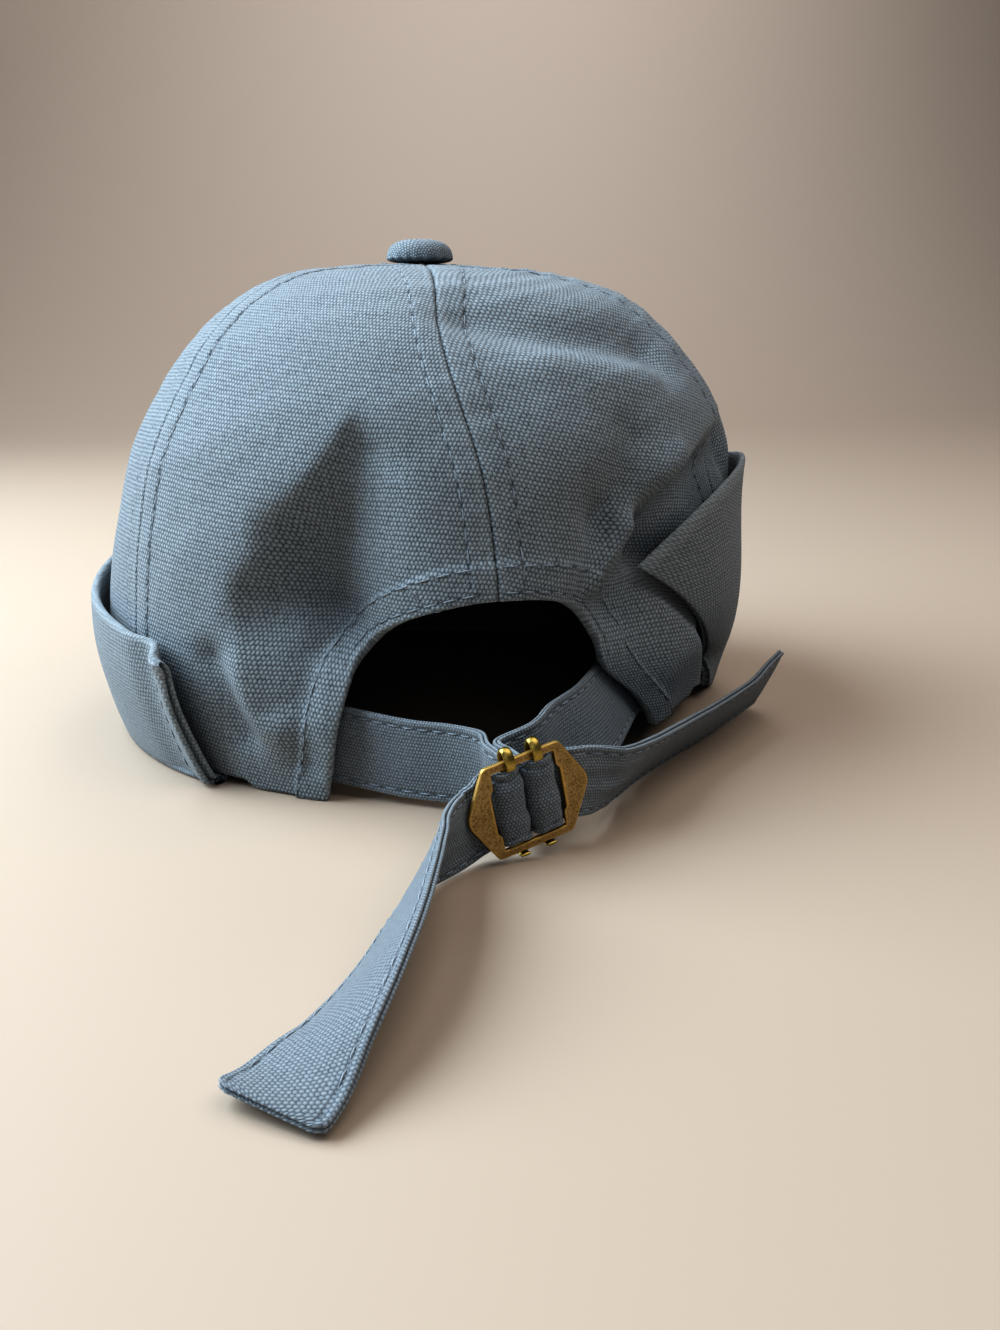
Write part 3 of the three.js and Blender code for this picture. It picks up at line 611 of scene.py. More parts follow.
def gore_places(gore):
    """The angle and the height of cloth of every point of a gore's grid, rows going up."""
    _, start, end, step, _ = gore
    side = opening_side(gore)
    rows = int(CROWN_UP / step)
    share = np.linspace(0, 1, rows)
    side_up = share * CROWN_UP
    if side:
        side_up = np.interp(share, [0, HEM_ROWS, ARCH_ROWS, 1], [0, SIDE_AT_SPRING, SIDE_AT_TOP, CROWN_UP])
    seam_from, seam_to = (np.stack([np.full(rows, float(seam)), side_up], -1) for seam in (start, end))
    if side:
        hem = int(rows * HEM_ROWS)
        arch = int(rows * ARCH_ROWS) - hem
        above = np.linspace(OPENING_TOP, CROWN_UP, rows - hem - arch + 1)[1:]
        opening = np.concatenate([hem_line(side, hem + 1)[:-1], arch_line(side, arch),
                                  np.stack([np.full(len(above), float(BACK_SEAM)), above], -1)])
        seam_from, seam_to = (seam_from, opening) if side < 0 else (opening, seam_to)
    reach = reach_at(*((seam_from + seam_to) / 2).T)
    width = np.hypot(np.radians(seam_to[:, 0] - seam_from[:, 0]) * reach, seam_to[:, 1] - seam_from[:, 1])
    count = int(width.max() / step) - len(EDGE_COLUMNS)
    squeeze = np.minimum(1, width / (2 * EDGE_COLUMNS[-1] + 6))[:, None]
    near = EDGE_COLUMNS[None, :] * squeeze / width[:, None]
    middle = near[:, -1:] + (1 - 2 * near[:, -1:]) * (np.arange(1, count) / count)[None, :]
    across = np.concatenate([near, middle, 1 - near[:, ::-1]], 1)[..., None]
    places = seam_from[:, None, :] * (1 - across) + seam_to[:, None, :] * across
    angle, up = places[..., 0], places[..., 1]
    foot = between(HEM_LIFT, CUFF_FOOT + SEAM_GAP, smoothstep(40, 42.5, np.abs(wrap(angle - BACK_SEAM))))
    return angle, np.where(up < LOW_CLOTH, between(foot, LOW_CLOTH, up / LOW_CLOTH), up)


# %% What sewing does to the cloth
SEAM_RIDGE = 0.35  # how far a seam's turned-in allowance lifts the cloth
SEAM_DIP, SEAM_HOLE = 0.22, 0.15  # how far a seam's stitches and their holes press into it
HEM_DIP, HEM_HOLE = 0.07, 0.04  # and a hem's, which is firmer
STRAP_DIP, STRAP_HOLE = 0.16, 0.1
PUCKER = 0.12  # height of the cloth's small waves beside the stitching
TOPSTITCH = 6.4  # distance of the topstitching from its seam
SEAM_PITCH = 4.6  # from one stitch to the next
GROOVE, BACK_GROOVE = 0.3, 0.65  # depth of the groove along a seam, and along the back seam
HEM_RAISE = 1.1  # how far the folded hem stands up
ARCH_ROWS_AT = (2.0, 8.0)  # the two rows of stitches round the arch
HEM_PITCH = 4.2
STITCH_WIDTH, HOLE_WIDTH = 0.5, 0.3
UPRIGHT_HEM = 34.0  # length of edge below the arch, which has the outer row only
SLACK = ((0.22, 34), (0.08, 13))  # height and length of the crown's own waves
WAVES = np.random.default_rng(4).uniform(-1, 1, (24, 3))


def unevenness(x, y, size, first=0):
    """Gentle irregular waves about size millimetres long, from -1 to 1."""
    total = 0
    for kx, ky, phase in WAVES[first:first + 8]:
        total = total + np.sin((kx * x + ky * y) * 2 * math.pi / size + phase * 9)
    return total / 4


def stitch_row(distance, at, along, pitch):
    """How strongly a place lies under a row of stitches, and how near it is to a needle hole."""
    under, near = bell(distance - at, STITCH_WIDTH), bell(distance - at, HOLE_WIDTH)
    hole = 0.5 + 0.5 * np.cos(2 * math.pi * along / pitch)
    return under, near * (0.1 + 0.9 * hole ** 3)


def seam_profile(distance, along, groove):
    """Lift of the cloth beside a seam, and how near each place is to a needle hole, where shade is painted."""
    ridge = SEAM_RIDGE * (1 - smoothstep(TOPSTITCH - 0.6, TOPSTITCH + 1.2, distance))
    valley = -groove * bell(distance, 0.4)
    under, hole = stitch_row(distance, TOPSTITCH, along, SEAM_PITCH)
    pucker = PUCKER * unevenness(along, distance * 0.3, 6, 8) * bell(distance - 4, 4)
    return ridge + valley + pucker - SEAM_DIP * under - SEAM_HOLE * hole, hole


def hem_profile(distance, along):
    """Lift of the cloth beside the edge of the back opening, and how near each place is to a needle hole, where
    shade is painted.
    """
    band = HEM_RAISE * (1 - smoothstep(ARCH_ROWS_AT[1] + 0.3, ARCH_ROWS_AT[1] + 1.2, distance))
    rounded = np.clip(1 - distance / 0.9, 0, 1)
    edge = -(CANVAS / 2) * (1 - np.sqrt(1 - rounded ** 2 * 0.98))
    swell = PUCKER * unevenness(along, distance, 7, 12) * bell(distance, 9)
    inner_row, outer_row = (np.array(stitch_row(distance, at, along, HEM_PITCH)) for at in ARCH_ROWS_AT)
    under, hole = inner_row * smoothstep(UPRIGHT_HEM - 2, UPRIGHT_HEM + 2, along) + outer_row
    return band + edge + swell - HEM_DIP * under - HEM_HOLE * hole, hole


# %% Sew the gores


def gore_face(gore, angle, up):
    """Lift of the sewn gore from the crown's surface, how rubbed it is, and how much painted shade darkens its
    needle holes.
    """
    _, start, end, _, _ = gore
    side = opening_side(gore)
    reach = reach_at(angle, up)
    round_rim = np.radians(angle) * reach
    (high, long), (low, short) = SLACK
    waves = high * unevenness(round_rim, up, long) + low * unevenness(round_rim, up, short, 6)
    lift = waves * smoothstep(0, 30, reach)
    rub, needle_hole_shade = np.zeros(angle.shape), np.zeros(angle.shape)
    for seam, turn in ((start, 1), (end, -1)):
        away = np.radians((angle - seam) * turn) * reach
        sewn, hole = seam_profile(away, up, BACK_GROOVE if seam == BACK_SEAM else GROOVE)
        near = smoothstep(2, 12, reach)
        if seam == BACK_SEAM:
            near = near * smoothstep(OPENING_TOP - 0.5, OPENING_TOP, up)
        lift = lift + sewn * near
        rub = np.maximum(rub, 0.15 * bell(away - 1.4, 0.8) * near)
        needle_hole_shade = np.maximum(needle_hole_shade, hole * near)
    if side:
        away, along = opening_distance(angle, up, side)
        sewn, hole = hem_profile(away, along)
        lift = lift + sewn
        rub = np.maximum(rub, 0.35 * bell(away, 0.8))
        needle_hole_shade = np.maximum(needle_hole_shade, hole)
    return lift, rub, needle_hole_shade


def dress(piece, slot, *nodes):
    """The piece rides on the cap's one body and stands for those frame nodes; slot is not used."""
    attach(piece, "root")
    if nodes:
        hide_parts(*nodes)
    print(piece.name, sum(len(p.vertices) - 2 for p in piece.data.polygons), "triangles")
    return piece


SEWN_GAP = 0.06  # fine gap on each side of a seam
for gore in GORES:
    name, start, end, _, grain = gore
    angle, up = gore_places(gore)
    lift, rub, needle_hole_shade = gore_face(gore, angle, up)
    reach = reach_at(angle, up)
    inset = np.zeros(angle.shape)
    inset[:, 0], inset[:, -1] = SEWN_GAP, -SEWN_GAP
    angle = angle + np.degrees(inset / np.maximum(reach, 3))
    base, normal = crown(angle, up), normal_of(crown, angle, up)
    outer = base + normal * lift[..., None]
    inner = base + normal * np.minimum(lift - 0.25, -CANVAS)[..., None]
    across = np.radians(angle - (start + end) / 2) * reach
    c, s = math.cos(math.radians(grain)), math.sin(math.radians(grain))
    flat = np.stack([across * c + up * s, up * c - across * s], -1)
    dress(cloth_piece(name + "_cloth", outer, inner, flat, rub, needle_hole_shade), "canvas", name)

# %% [markdown]
# ## Cuff
# The cuff is the cap's own hem, folded double and turned up, so it runs round under the crown's edge and
# stands up outside it.  Its two ends stop beside the back opening, where the cloth is turned in again and
# curls away from the crown.

# %% Cuff wall and foot
CUFF_THICK = 2.4
CUFF_STAND = 1.0  # how far it stands off the crown at its foot
CUFF_FLARE = 1.8  # how much further off it stands at its upper edge
CUFF_RIGHT = (-38, -55)  # degrees round the rim where it ends, at its foot and at its top
CUFF_LEFT = (223, 221)
CUFF_AT = [-55, -44, -36, -28, -18, 0, 30, 90, 150, 180, 205, 222]
CUFF_HEIGHT = [47.5, 55.5, 58.5, 68, 75, 72, 64, 54, 46, 40, 37, 34]
CUFF_HEM = 7.0  # width of the turned-in ends
FLAP = 0.23  # share of its length, at its right end, that is a smooth flap
FLAP_TERMS = (4, 3)  # powers of the run and of the rise in the flap's smooth surface
WALL_FOOT = 0.02  # share of its height where the wall begins, above the fold


def beside_crown(angle, up, distance):
    return crown(angle, up) + normal_of(crown, angle, up) * np.asarray(distance)[..., None]


def cuff_wall(share, rise, through):
    """A point of the cuff's wall, with through from 0 on its inner face to 1 on its outer face, and the height
    that the cuff is cut to there."""
    right_end, left_end = between(*CUFF_RIGHT, rise), between(*CUFF_LEFT, rise)
    angle = between(right_end, left_end, share)
    # It flares most towards its ends; the left end curls out and has a knob at its foot.
    flare = CUFF_FLARE + 2.5 * bell(left_end - angle, 12) + 1.5 * bell(angle - right_end, 12)
    height = np.interp(angle, CUFF_AT, CUFF_HEIGHT)
    from_left, from_right = np.radians(left_end - angle) * RIM_REACH, np.radians(angle - right_end) * RIM_REACH
    curled = (3.0 * bell(from_left, 4.5) - 2.6 * bell(from_left - 11, 5)) * between(0.3, 1, rise ** 1.5)
    knob = 1.6 * bell(from_left, 5) * bell((1 - rise) * height, 5)
    hem = 0.5 * (1 - smoothstep(CUFF_HEM - 0.5, CUFF_HEM + 1, np.minimum(from_left, from_right)))
    hem = hem + 1.3 * bell(from_left, 3) * (1 - 0.6 * rise)
    waves = 0.25 * unevenness(np.radians(angle) * RIM_REACH, rise * height, 40, 3) * rise
    lift = CUFF_STAND + flare * rise ** 0.7 + curled + knob + waves + through * (CUFF_THICK + hem) - hem * 0.3
    return beside_crown(angle, CUFF_FOOT + rise * height, lift), height


def flap_terms(share, rise):
    share, rise = np.broadcast_arrays(share, rise)
    return np.stack([share ** i * rise ** j for i, j in np.ndindex(*FLAP_TERMS)], -1)


def flap_fit(through):
    """The flap doesn't follow the crown's creases: this is the plain surface that lies nearest to its wall."""
    share, rise = np.meshgrid(np.linspace(0, FLAP, 40), np.linspace(WALL_FOOT, 1, 24))
    points = cuff_wall(share, rise, through)[0].reshape(-1, 3)
    terms = flap_terms(share / FLAP, rise).reshape(len(points), -1)
    return np.linalg.lstsq(terms, points, rcond=None)[0]


FLAP_FITS = [flap_fit(through) for through in (0.0, 1.0)]


def cuff_face(share, rise, through):
    """The cuff's wall with its right end smoothed."""
    behind, before = (flap_terms(share / FLAP, rise) @ fit for fit in FLAP_FITS)
    flap = between(behind, before, np.asarray(through)[..., None])
    smooth = (1 - smoothstep(0.5 * FLAP, FLAP, share)) * smoothstep(0.03, 0.3, rise)
    return between(cuff_wall(share, rise, through)[0], flap, smooth[..., None])


def cuff_fold(share, distance, height):
    """A point of the fold that runs under the crown's edge."""
    angle = between(CUFF_RIGHT[0], CUFF_LEFT[0], share)
    edge = crown(angle, CUFF_FOOT)
    lift = np.maximum(0, edge[..., 2] - plain_crown(angle, CUFF_FOOT)[..., 2] - 0.05)
    point = edge + unit(normal_of(crown, angle, CUFF_FOOT) * (1, 1, 0)) * distance
    point[..., 2] = lift + height
    return point


# %% Turn up the cuff
CUFF_LENGTH = 420.0
CUFF_ROWS = 64
CUFF_SPACING = 1.15  # of its columns between the two ends
TOP_ROUND = 0.035  # share of its height that rounds its upper edge
# Each end turns into a groove: how far in from the end, and how much of the thickness is left.
CUFF_END = [(1.7, 0.1), (0.9, 0.2), (0.35, 0.32), (0.08, 0.48), (0, 0.64), (0.05, 0.78), (0.25, 0.9),
            (0.6, 0.97)]
CUFF_END += [(at, 1.0) for at in (1.1, 1.8, 2.6, 3.4, 4.2, 4.9, 5.6, 6.2, 6.6, 7.0, 7.4, 7.9)]
# The fold's two faces, from inside the crown outwards: distance from the crown's face, and height.
FOLD_OUT = [(-1.4, 0.7), (-1.25, 0.3), (-0.8, 0), (0.6, 0), (2.0, 0), (2.8, 0.25), (3.25, 0.8), (3.4, 1.5)]
FOLD_IN = [(-1.4, 1.6), (-1.2, 1.85), (-0.8, 1.9), (-0.4, 1.9), (0, 1.9), (0.3, 1.92), (0.7, 2.0), (0.9, 2.3)]

end_at, end_left = np.array(CUFF_END).T
middle_at = np.arange(8.6, CUFF_LENGTH - 8.5, CUFF_SPACING)
share = np.concatenate([end_at, middle_at, CUFF_LENGTH - end_at[::-1]]) / CUFF_LENGTH
end_round = np.concatenate([end_left, np.ones(len(middle_at)), end_left[::-1]])
rises = np.append(np.linspace(WALL_FOOT, 1 - TOP_ROUND, CUFF_ROWS), [0.975, 0.984, 0.991, 0.996, 0.999])
top_round = np.sqrt(1 - np.clip((rises - (1 - TOP_ROUND)) / TOP_ROUND, 0, 0.99) ** 2)
rows = []
for (out, low), (out_in, low_in) in zip(FOLD_OUT, FOLD_IN):
    rows.append((cuff_fold(share, out, low), cuff_fold(share, out_in, low_in), np.full(len(share), out - 4.0)))
for rise, roundness in zip(rises, top_round):
    half = 0.5 * roundness * end_round
    rows.append((cuff_face(share, rise, 0.5 + half), cuff_face(share, rise, 0.5 - half),
                 rise * cuff_wall(share, rise, 0.5)[1]))
cuff_outer, cuff_inner, cut_up = (np.array(part) for part in zip(*rows))
flat = np.stack([np.broadcast_to(share * CUFF_LENGTH, cut_up.shape), cut_up], -1)
rub = np.zeros(cut_up.shape)
rub[-6:] = 0.3  # along its upper edge
rub = np.maximum(rub, 0.2 * bell(np.minimum(share, 1 - share) * CUFF_LENGTH, 1.0)[None, :])
left_away = (1 - share) * CUFF_LENGTH
# Painted shade in the needle holes of the left end's hem.
_, needle_hole_shade = stitch_row(left_away[None, :], CUFF_HEM, cut_up, HEM_PITCH)
cuff = cloth_piece("turned_up_cuff", cuff_outer, cuff_inner, flat, rub, needle_hole_shade, cuff_canvas)
dress(cuff, "canvas", "cuff")

# %% [markdown]
# ## Straps
# Each strap is one strip of canvas folded lengthwise, its raw edges turned in and stitched down both sides.
# Seen from its edge it shows two plump layers with a dark line between them.  It runs from inside its hem to
# the buckle, over the front of its bar and back behind the plate, and ends in a free tail.  A flat strap is
# laid directly along its line; a remeshed cloth would lose its edges.

# %% Where the straps run
STRAP_WIDTH = 20.0
STRAP_THICK = 1.8
STRAP_GAP = 0.3  # between a strap's sewn end and the crown's inner face
BUCKLE_MIDDLE = np.array([-1, -123.9, 13.9])
BUCKLE_ACROSS = unit([0.955, 0.22, 0.2])
BUCKLE_FACE = unit(np.cross(BUCKLE_ACROSS, [0, 0, 1]))
BUCKLE_UPRIGHT = unit(np.cross(BUCKLE_FACE, BUCKLE_ACROSS))

# x, y, z of the middle line, lean (how far the upper edge tips to the right of the run, in degrees), and the
# width where the strap is bunched.
LEFT_RUN = [(-21.2, -87.5, 12, 2), (-11, -94.5, 12.2, 4), (-5.2, -102, 12.8, 8)]
LEFT_TAIL = [
    (-22.9, -134.2, 9.2, -14, 17), (-27.4, -143.6, 9.9, -26, 19), (-31.9, -154.2, 9.9, -33),
    (-37.4, -166.8, 9.1, -40), (-42.9, -177.1, 8, -48), (-48.7, -186, 6.3, -59),
    (-53.8, -192.2, 4.5, -73), (-58.1, -197.8, 3.1, -86), (-61.8, -202.2, 2.9, -97),
]
RIGHT_RUN = [(24.5, -90.5, 18.6, 26), (14.5, -98.5, 17, 18), (7, -107, 15.8, 13)]
RIGHT_TAIL = [
    (21.4, -113.6, 12.9, 22, 16.6), (30.1, -104.4, 11.2, 31, 19), (39.3, -93.4, 9.7, 35),
    (48, -84.8, 9.2, 36), (57, -76.9, 9.2, 37), (66.8, -68.4, 9.2, 36),
    (77, -59.4, 9.6, 35), (86.7, -50.4, 10.6, 29), (95.6, -41.8, 11.3, 26),
]


def in_buckle(across, upright, face):
    """A point in the buckle's own axes: across, upright and towards its face."""
    return BUCKLE_MIDDLE + across * BUCKLE_ACROSS + upright * BUCKLE_UPRIGHT + face * BUCKLE_FACE


def leaning(rows):
    """Stations of a strap: its middle, the direction across its width, and its width."""
    points = np.array([row[:3] for row in rows], float)
    stations = []
    for i, (point, row) in enumerate(zip(points, rows)):
        run = unit(points[min(i + 1, len(rows) - 1)] - points[max(i - 1, 0)])
        right = unit(np.cross(run, (0, 0, 1)))
        tilt = math.radians(row[3])
        across = np.cross(right, run) * math.cos(tilt) + right * math.sin(tilt)
        stations.append((point, across, row[4] if len(row) > 4 else STRAP_WIDTH))
    return stations


# Through the buckle, on the right: across, towards the face, upright, and the strap's width there.  It comes in
# beside the middle, makes a flat roll over the front of the bar and goes out bunched behind the plate.
ROLL = [
    (1.25, -14, 0, 18.6), (1.25, -8, 0, 18.2), (1.2, -4.5, 0, 18), (1.15, -2.3, 0, 17.8), (1.3, -0.7, 0, 17.6),
    (2.1, 0.3, 0, 17.4), (3.4, 0.55, 0, 16.6), (4.8, 0.5, 0, 16.7), (6.0, 0.1, 0, 17.4), (6.7, -0.9, 0, 17.6),
    (6.9, -1.9, -0.1, 17.6), (7.4, -2.75, -0.3, 17.4), (8.8, -3.0, -0.6, 17), (10.5, -2.6, -1.0, 16.6),
    (13.5, -2.35, -1.7, 16.2),
]


def strap_stations(root, slack, lean, run, side, tail):
    """The whole strap: sewn to the crown's inner face at the root's places, through the buckle and out."""
    depth = CANVAS + STRAP_GAP + STRAP_THICK / 2 + slack
    sewn = [(*beside_crown(np.float64(angle), np.float64(up), -depth), lean) for angle, up in root]
    rolled = [(in_buckle(side * across, upright, face), BUCKLE_UPRIGHT, width)
              for across, face, upright, width in ROLL]
    return leaning(sewn + run) + rolled + leaning(tail)


def smooth_line(points, t):
    """Centripetal curve through the points at parameters t, one span to each pair of points."""
    points = np.asarray(points, float)
    p = np.concatenate([[2 * points[0] - points[1]], points, [2 * points[-1] - points[-2]]])
    i = np.minimum(t.astype(int), len(points) - 2)
    w = (t - i)[:, None]
    p0, p1, p2, p3 = (p[i + k] for k in range(4))
    d0, d1, d2 = (np.maximum(np.linalg.norm(b - a, axis=1), 1e-6)[:, None] ** 0.5
                  for a, b in ((p0, p1), (p1, p2), (p2, p3)))
    t1 = ((p1 - p0) / d0 - (p2 - p0) / (d0 + d1) + (p2 - p1) / d1) * d1
    t2 = ((p2 - p1) / d1 - (p3 - p1) / (d1 + d2) + (p3 - p2) / d2) * d1
    return p1 + t1 * w + (-3 * p1 + 3 * p2 - 2 * t1 - t2) * w ** 2 + (2 * p1 - 2 * p2 + t1 + t2) * w ** 3


# %% Lay a strap
# How far from an edge the strap's columns lie, as far as its middle.
STRAP_SIDE = [0, 0.1, 0.25, 0.45, 0.7, 1.0, 1.3, 1.55, 1.8, 2.05, 2.35, 2.8, 3.4, 4.2, 5.0, 5.8, 6.6, 7.4,
              8.2, 9.0]
STRAP_STITCH = 1.8  # distance of the stitching from a strap's edge
STRAP_PITCH = 4.2
TIP_ROUNDING = 2.2  # radius of the corners of the free end
LAYER_HALF = 0.45  # half a layer's thickness; its edges are as round
LAYER_MIDDLE = 0.48  # from the strap's middle to a layer's
PLUMP = 0.1  # how much thicker it is between its rows of stitches
BUNCHED_WIDTH = (17.6, 19.0)  # it wrinkles where it is narrower
WRINKLE = 0.42
SMOOTH_ENDS = 30  # length at each end that never wrinkles


def strap_frames(stations):
    """Middle, across, face, half width and length so far, about every millimetre."""
    points, sides, widths = (np.array(part) for part in zip(*stations))
    counts = np.maximum(3, (np.linalg.norm(np.diff(points, axis=0), axis=1) / 0.9).astype(int))
    t = np.append(np.concatenate([i + np.arange(n) / n for i, n in enumerate(counts)]), len(points) - 1.0)
    middle = smooth_line(points, t)
    run = unit(np.gradient(middle, axis=0))
    across = smooth_line(sides, t)
    across = unit(across - run * (across * run).sum(1)[:, None])
    length = length_so_far(middle)
    from_tip = np.clip(1 - (length[-1] - length) / TIP_ROUNDING, 0, 1)
    half = np.interp(t, np.arange(len(stations)), widths) / 2 - TIP_ROUNDING * (1 - np.sqrt(1 - from_tip ** 2))
    return middle, across, np.cross(run, across), half, length


def strap_layer(frames, front):
    """Outer and inner face of one layer, each across x along."""
    middle, across, face, half, length = frames
    side = np.array(STRAP_SIDE) - STRAP_WIDTH / 2
    x = np.concatenate([side, [0], -side[::-1]])[:, None]
    edge = STRAP_WIDTH / 2 - np.abs(x)
    length = length[None, :]
    tip = np.minimum(length, length[:, -1:] - length)
    turned, tipped = (np.sqrt(1 - np.clip(1 - away / LAYER_HALF, 0, 0.98) ** 2) for away in (edge, tip))
    thick = LAYER_HALF * np.minimum(turned, tipped)
    under, hole = stitch_row(edge, STRAP_STITCH, length, STRAP_PITCH)
    plump = PLUMP * smoothstep(STRAP_STITCH, 6, edge) - STRAP_DIP * under - STRAP_HOLE * hole
    narrow = 1 - smoothstep(*(width / 2 for width in BUNCHED_WIDTH), half)[None, :]
    wrinkle = unevenness(length * 0.35, x * 1.2, 6, 2) * smoothstep(0, 2.5, edge)
    ripple = 0.06 * unevenness(length, x, 9, 5) + WRINKLE * narrow * (tip > SMOOTH_ENDS) * wrinkle
    out = LAYER_MIDDLE + thick + (plump + ripple) * tipped * turned
    back = LAYER_MIDDLE - 0.93 * thick

    def surface(depth):
        wide = x / (STRAP_WIDTH / 2) * half[None, :]
        facing = (1 if front else -1) * depth
        return middle[None] + across[None] * wide[..., None] + face[None] * facing[..., None]

    laid = length_so_far(surface(out)[len(x) // 2])[None, :]
    flat = np.stack(np.broadcast_arrays(laid, x), -1)
    rub = 0.2 * bell(np.minimum(edge, tip), 0.6)
    # The last part is where painted shade darkens the needle holes.
    parts = [surface(out), surface(back), flat, rub, 0.6 * hole]
    return parts if front else [part[::-1] for part in parts]


def make_strap(name, stations, node):
    frames = strap_frames(stations)
    layers = [cloth_piece(name, *strap_layer(frames, front), strap_canvas) for front in (True, False)]
    select_only(*layers)
    bpy.ops.object.join()
    strap = dress(layers[0], "canvas", node)
    return frames


left_frames = make_strap("strap_left_folded", strap_stations(
    [(237, 13), (240, 13)], 2.9, 0, LEFT_RUN, -1, LEFT_TAIL), "strap_left")
right_frames = make_strap("strap_right_folded", strap_stations(
    [(300, 15), (297.5, 15)], 4.8, 20, RIGHT_RUN, 1, RIGHT_TAIL), "strap_right")

# %% [markdown]
# ## Buckle plate
# The plate is a flat zinc casting plated in antique brass: a six-sided frame with softened edges, whose window
# has a small step near each corner.  Two closed loops, the outline and the window, are bridged to a flat ring,
# raised to the plate's thickness, inset along the rims and bevelled.

# %% Antique brass
BRASS_EDGES = "c9a765"


def brass_material(name, ground, patina, roughness):
    """Plated brass with a browned, speckled patina that is rubbed off along the edges."""
    made, shader = new_material(name)
    place = add_node(made, "TexCoord", [], "Object")
    # Specks are 0.3 to 0.5 mm across and stains a few millimetres.
    specks = add_node(made, "TexNoise", {"Vector": place, "Scale": 2600.0, "Detail": 3.0})
    stains = add_node(made, "TexNoise", {"Vector": place, "Scale": 320.0, "Detail": 2.0})
    worn = add_node(made, "Attribute", [], "Fac", attribute_name="worn")
    mottle = add_node(made, "Math", [stains, 0.4, specks], operation="MULTIPLY_ADD")
    share = add_node(made, "MapRange", [mottle, 0.45, 1.05])
    face = add_node(made, "Mix", {0: share, 6: linear(patina), 7: linear(ground)}, 2, data_type="RGBA")
    rubbed = add_node(made, "Mix", {0: worn, 6: face, 7: linear(BRASS_EDGES)}, 2, data_type="RGBA")
    rough = add_node(made, "MapRange", [specks, 0.3, 0.7, roughness + 0.15, roughness])
    pitted = add_node(made, "Bump", {"Strength": 0.35, "Distance": 0.12 * MM, "Height": specks})
    finish_shader(made, shader, {"Base Color": rubbed, "Roughness": rough, "Normal": pitted}, Metallic=1.0)
    print("material:", name)
    return made


antique_brass = brass_material("antique brass plating on cast zinc", "cbb07c", "76603c", 0.42)
bright_brass = brass_material("polished brass strip", "cbb368", "94803f", 0.24)

# %% Plate outline and window
PLATE_THICK = 1.2
# Corners of the outline and of a quarter of the window: x, y and how far their rounding reaches.
PLATE_CORNERS = [(9.3, -11, 0.9), (15.3, 0, 2.4), (9.3, 11, 0.9), (-9.3, 11, 0.9), (-15.3, 0, 2.4),
                 (-9.3, -11, 0.9)]
STEP_AT = 5.2  # height of the window's steps
WINDOW_QUARTER = [(7.7, 9.2, 0.6), (7.75, STEP_AT + 0.5, 0.3), (8.5, STEP_AT - 0.4, 0.3)]


def rounded_loop(corners, each):
    """A closed polygon with each corner rounded by that many points."""
    loop = []
    for i, (x, y, reach) in enumerate(corners):
        corner = np.array([x, y])
        before = unit(np.array(corners[i - 1][:2]) - corner) * reach
        after = unit(np.array(corners[(i + 1) % len(corners)][:2]) - corner) * reach
        for t in np.linspace(0, 1, each):
            loop.append(corner + before * (1 - t) ** 2 + after * t ** 2)
    return loop


window = []
for x_side, y_side in ((1, -1), (1, 1), (-1, 1), (-1, -1)):
    window += [(x * x_side, y * y_side, reach) for x, y, reach in WINDOW_QUARTER[::x_side * y_side * -1]]
outline_loop = rounded_loop(PLATE_CORNERS, 8)
window_loop = rounded_loop(window, 4)
print("plate loops:", len(outline_loop), len(window_loop), "points")

# %% Bridge, raise and bevel the plate
in_place = np.eye(4)
in_place[:3] = np.stack([BUCKLE_ACROSS, BUCKLE_UPRIGHT, BUCKLE_FACE, BUCKLE_MIDDLE * MM], 1)
BUCKLE_PLACE = Matrix(in_place.tolist())


def edit(action=None):
    """Goes to edit mode, and selects or deselects everything if that is asked for."""
    bpy.ops.object.mode_set(mode="EDIT")
    if action:
        bpy.ops.mesh.select_all(action=action)


def leave_edit():
    bpy.ops.object.mode_set(mode="OBJECT")


def select_faces(piece, wanted):
    """Selects only the wanted faces, in edit mode."""
    edit("DESELECT")
    leave_edit()
    for polygon in piece.data.polygons:
        polygon.select = wanted(polygon)
    edit()


def extrude(x, y, z):
    """Extrudes what is selected, by millimetres."""
    bpy.ops.mesh.extrude_region_move(TRANSFORM_OT_translate={"value": (x * MM, y * MM, z * MM)})


def turn_outwards():
    """Makes all faces point outwards and leaves edit mode."""
    bpy.ops.mesh.select_all(action="SELECT")
    bpy.ops.mesh.normals_make_consistent(inside=False)
    leave_edit()


def finish_metal(piece, bevel, segments, sharp, smooth, material, rim=0):
    """Bevels edges sharper than an angle, shades the others smooth and puts the piece in its place.  If a rim
    is given, the flat faces are inset by it, and all that lies outside them is worn."""
    softened = piece.modifiers.new("soft edges", "BEVEL")
    softened.width, softened.segments = bevel * MM, segments
    softened.limit_method, softened.angle_limit = "ANGLE", math.radians(sharp)
    bpy.ops.object.modifier_apply(modifier="soft edges")
    worn = 0.0
    if rim:
        select_faces(piece, lambda face: abs(face.normal.z) > 0.999)
        bpy.ops.mesh.inset(thickness=rim * MM)
        leave_edit()
        worn = 0.8
    worn = np.full(len(piece.data.vertices), worn, np.float32)
    for polygon in piece.data.polygons:
        if rim and polygon.select:
            worn[list(polygon.vertices)] = 0.0
    piece.data.attributes.new("worn", "FLOAT", "POINT").data.foreach_set("value", worn)
    bpy.ops.object.shade_smooth_by_angle(angle=math.radians(smooth))
    piece.data.transform(BUCKLE_PLACE)
    piece.data.materials.append(material)


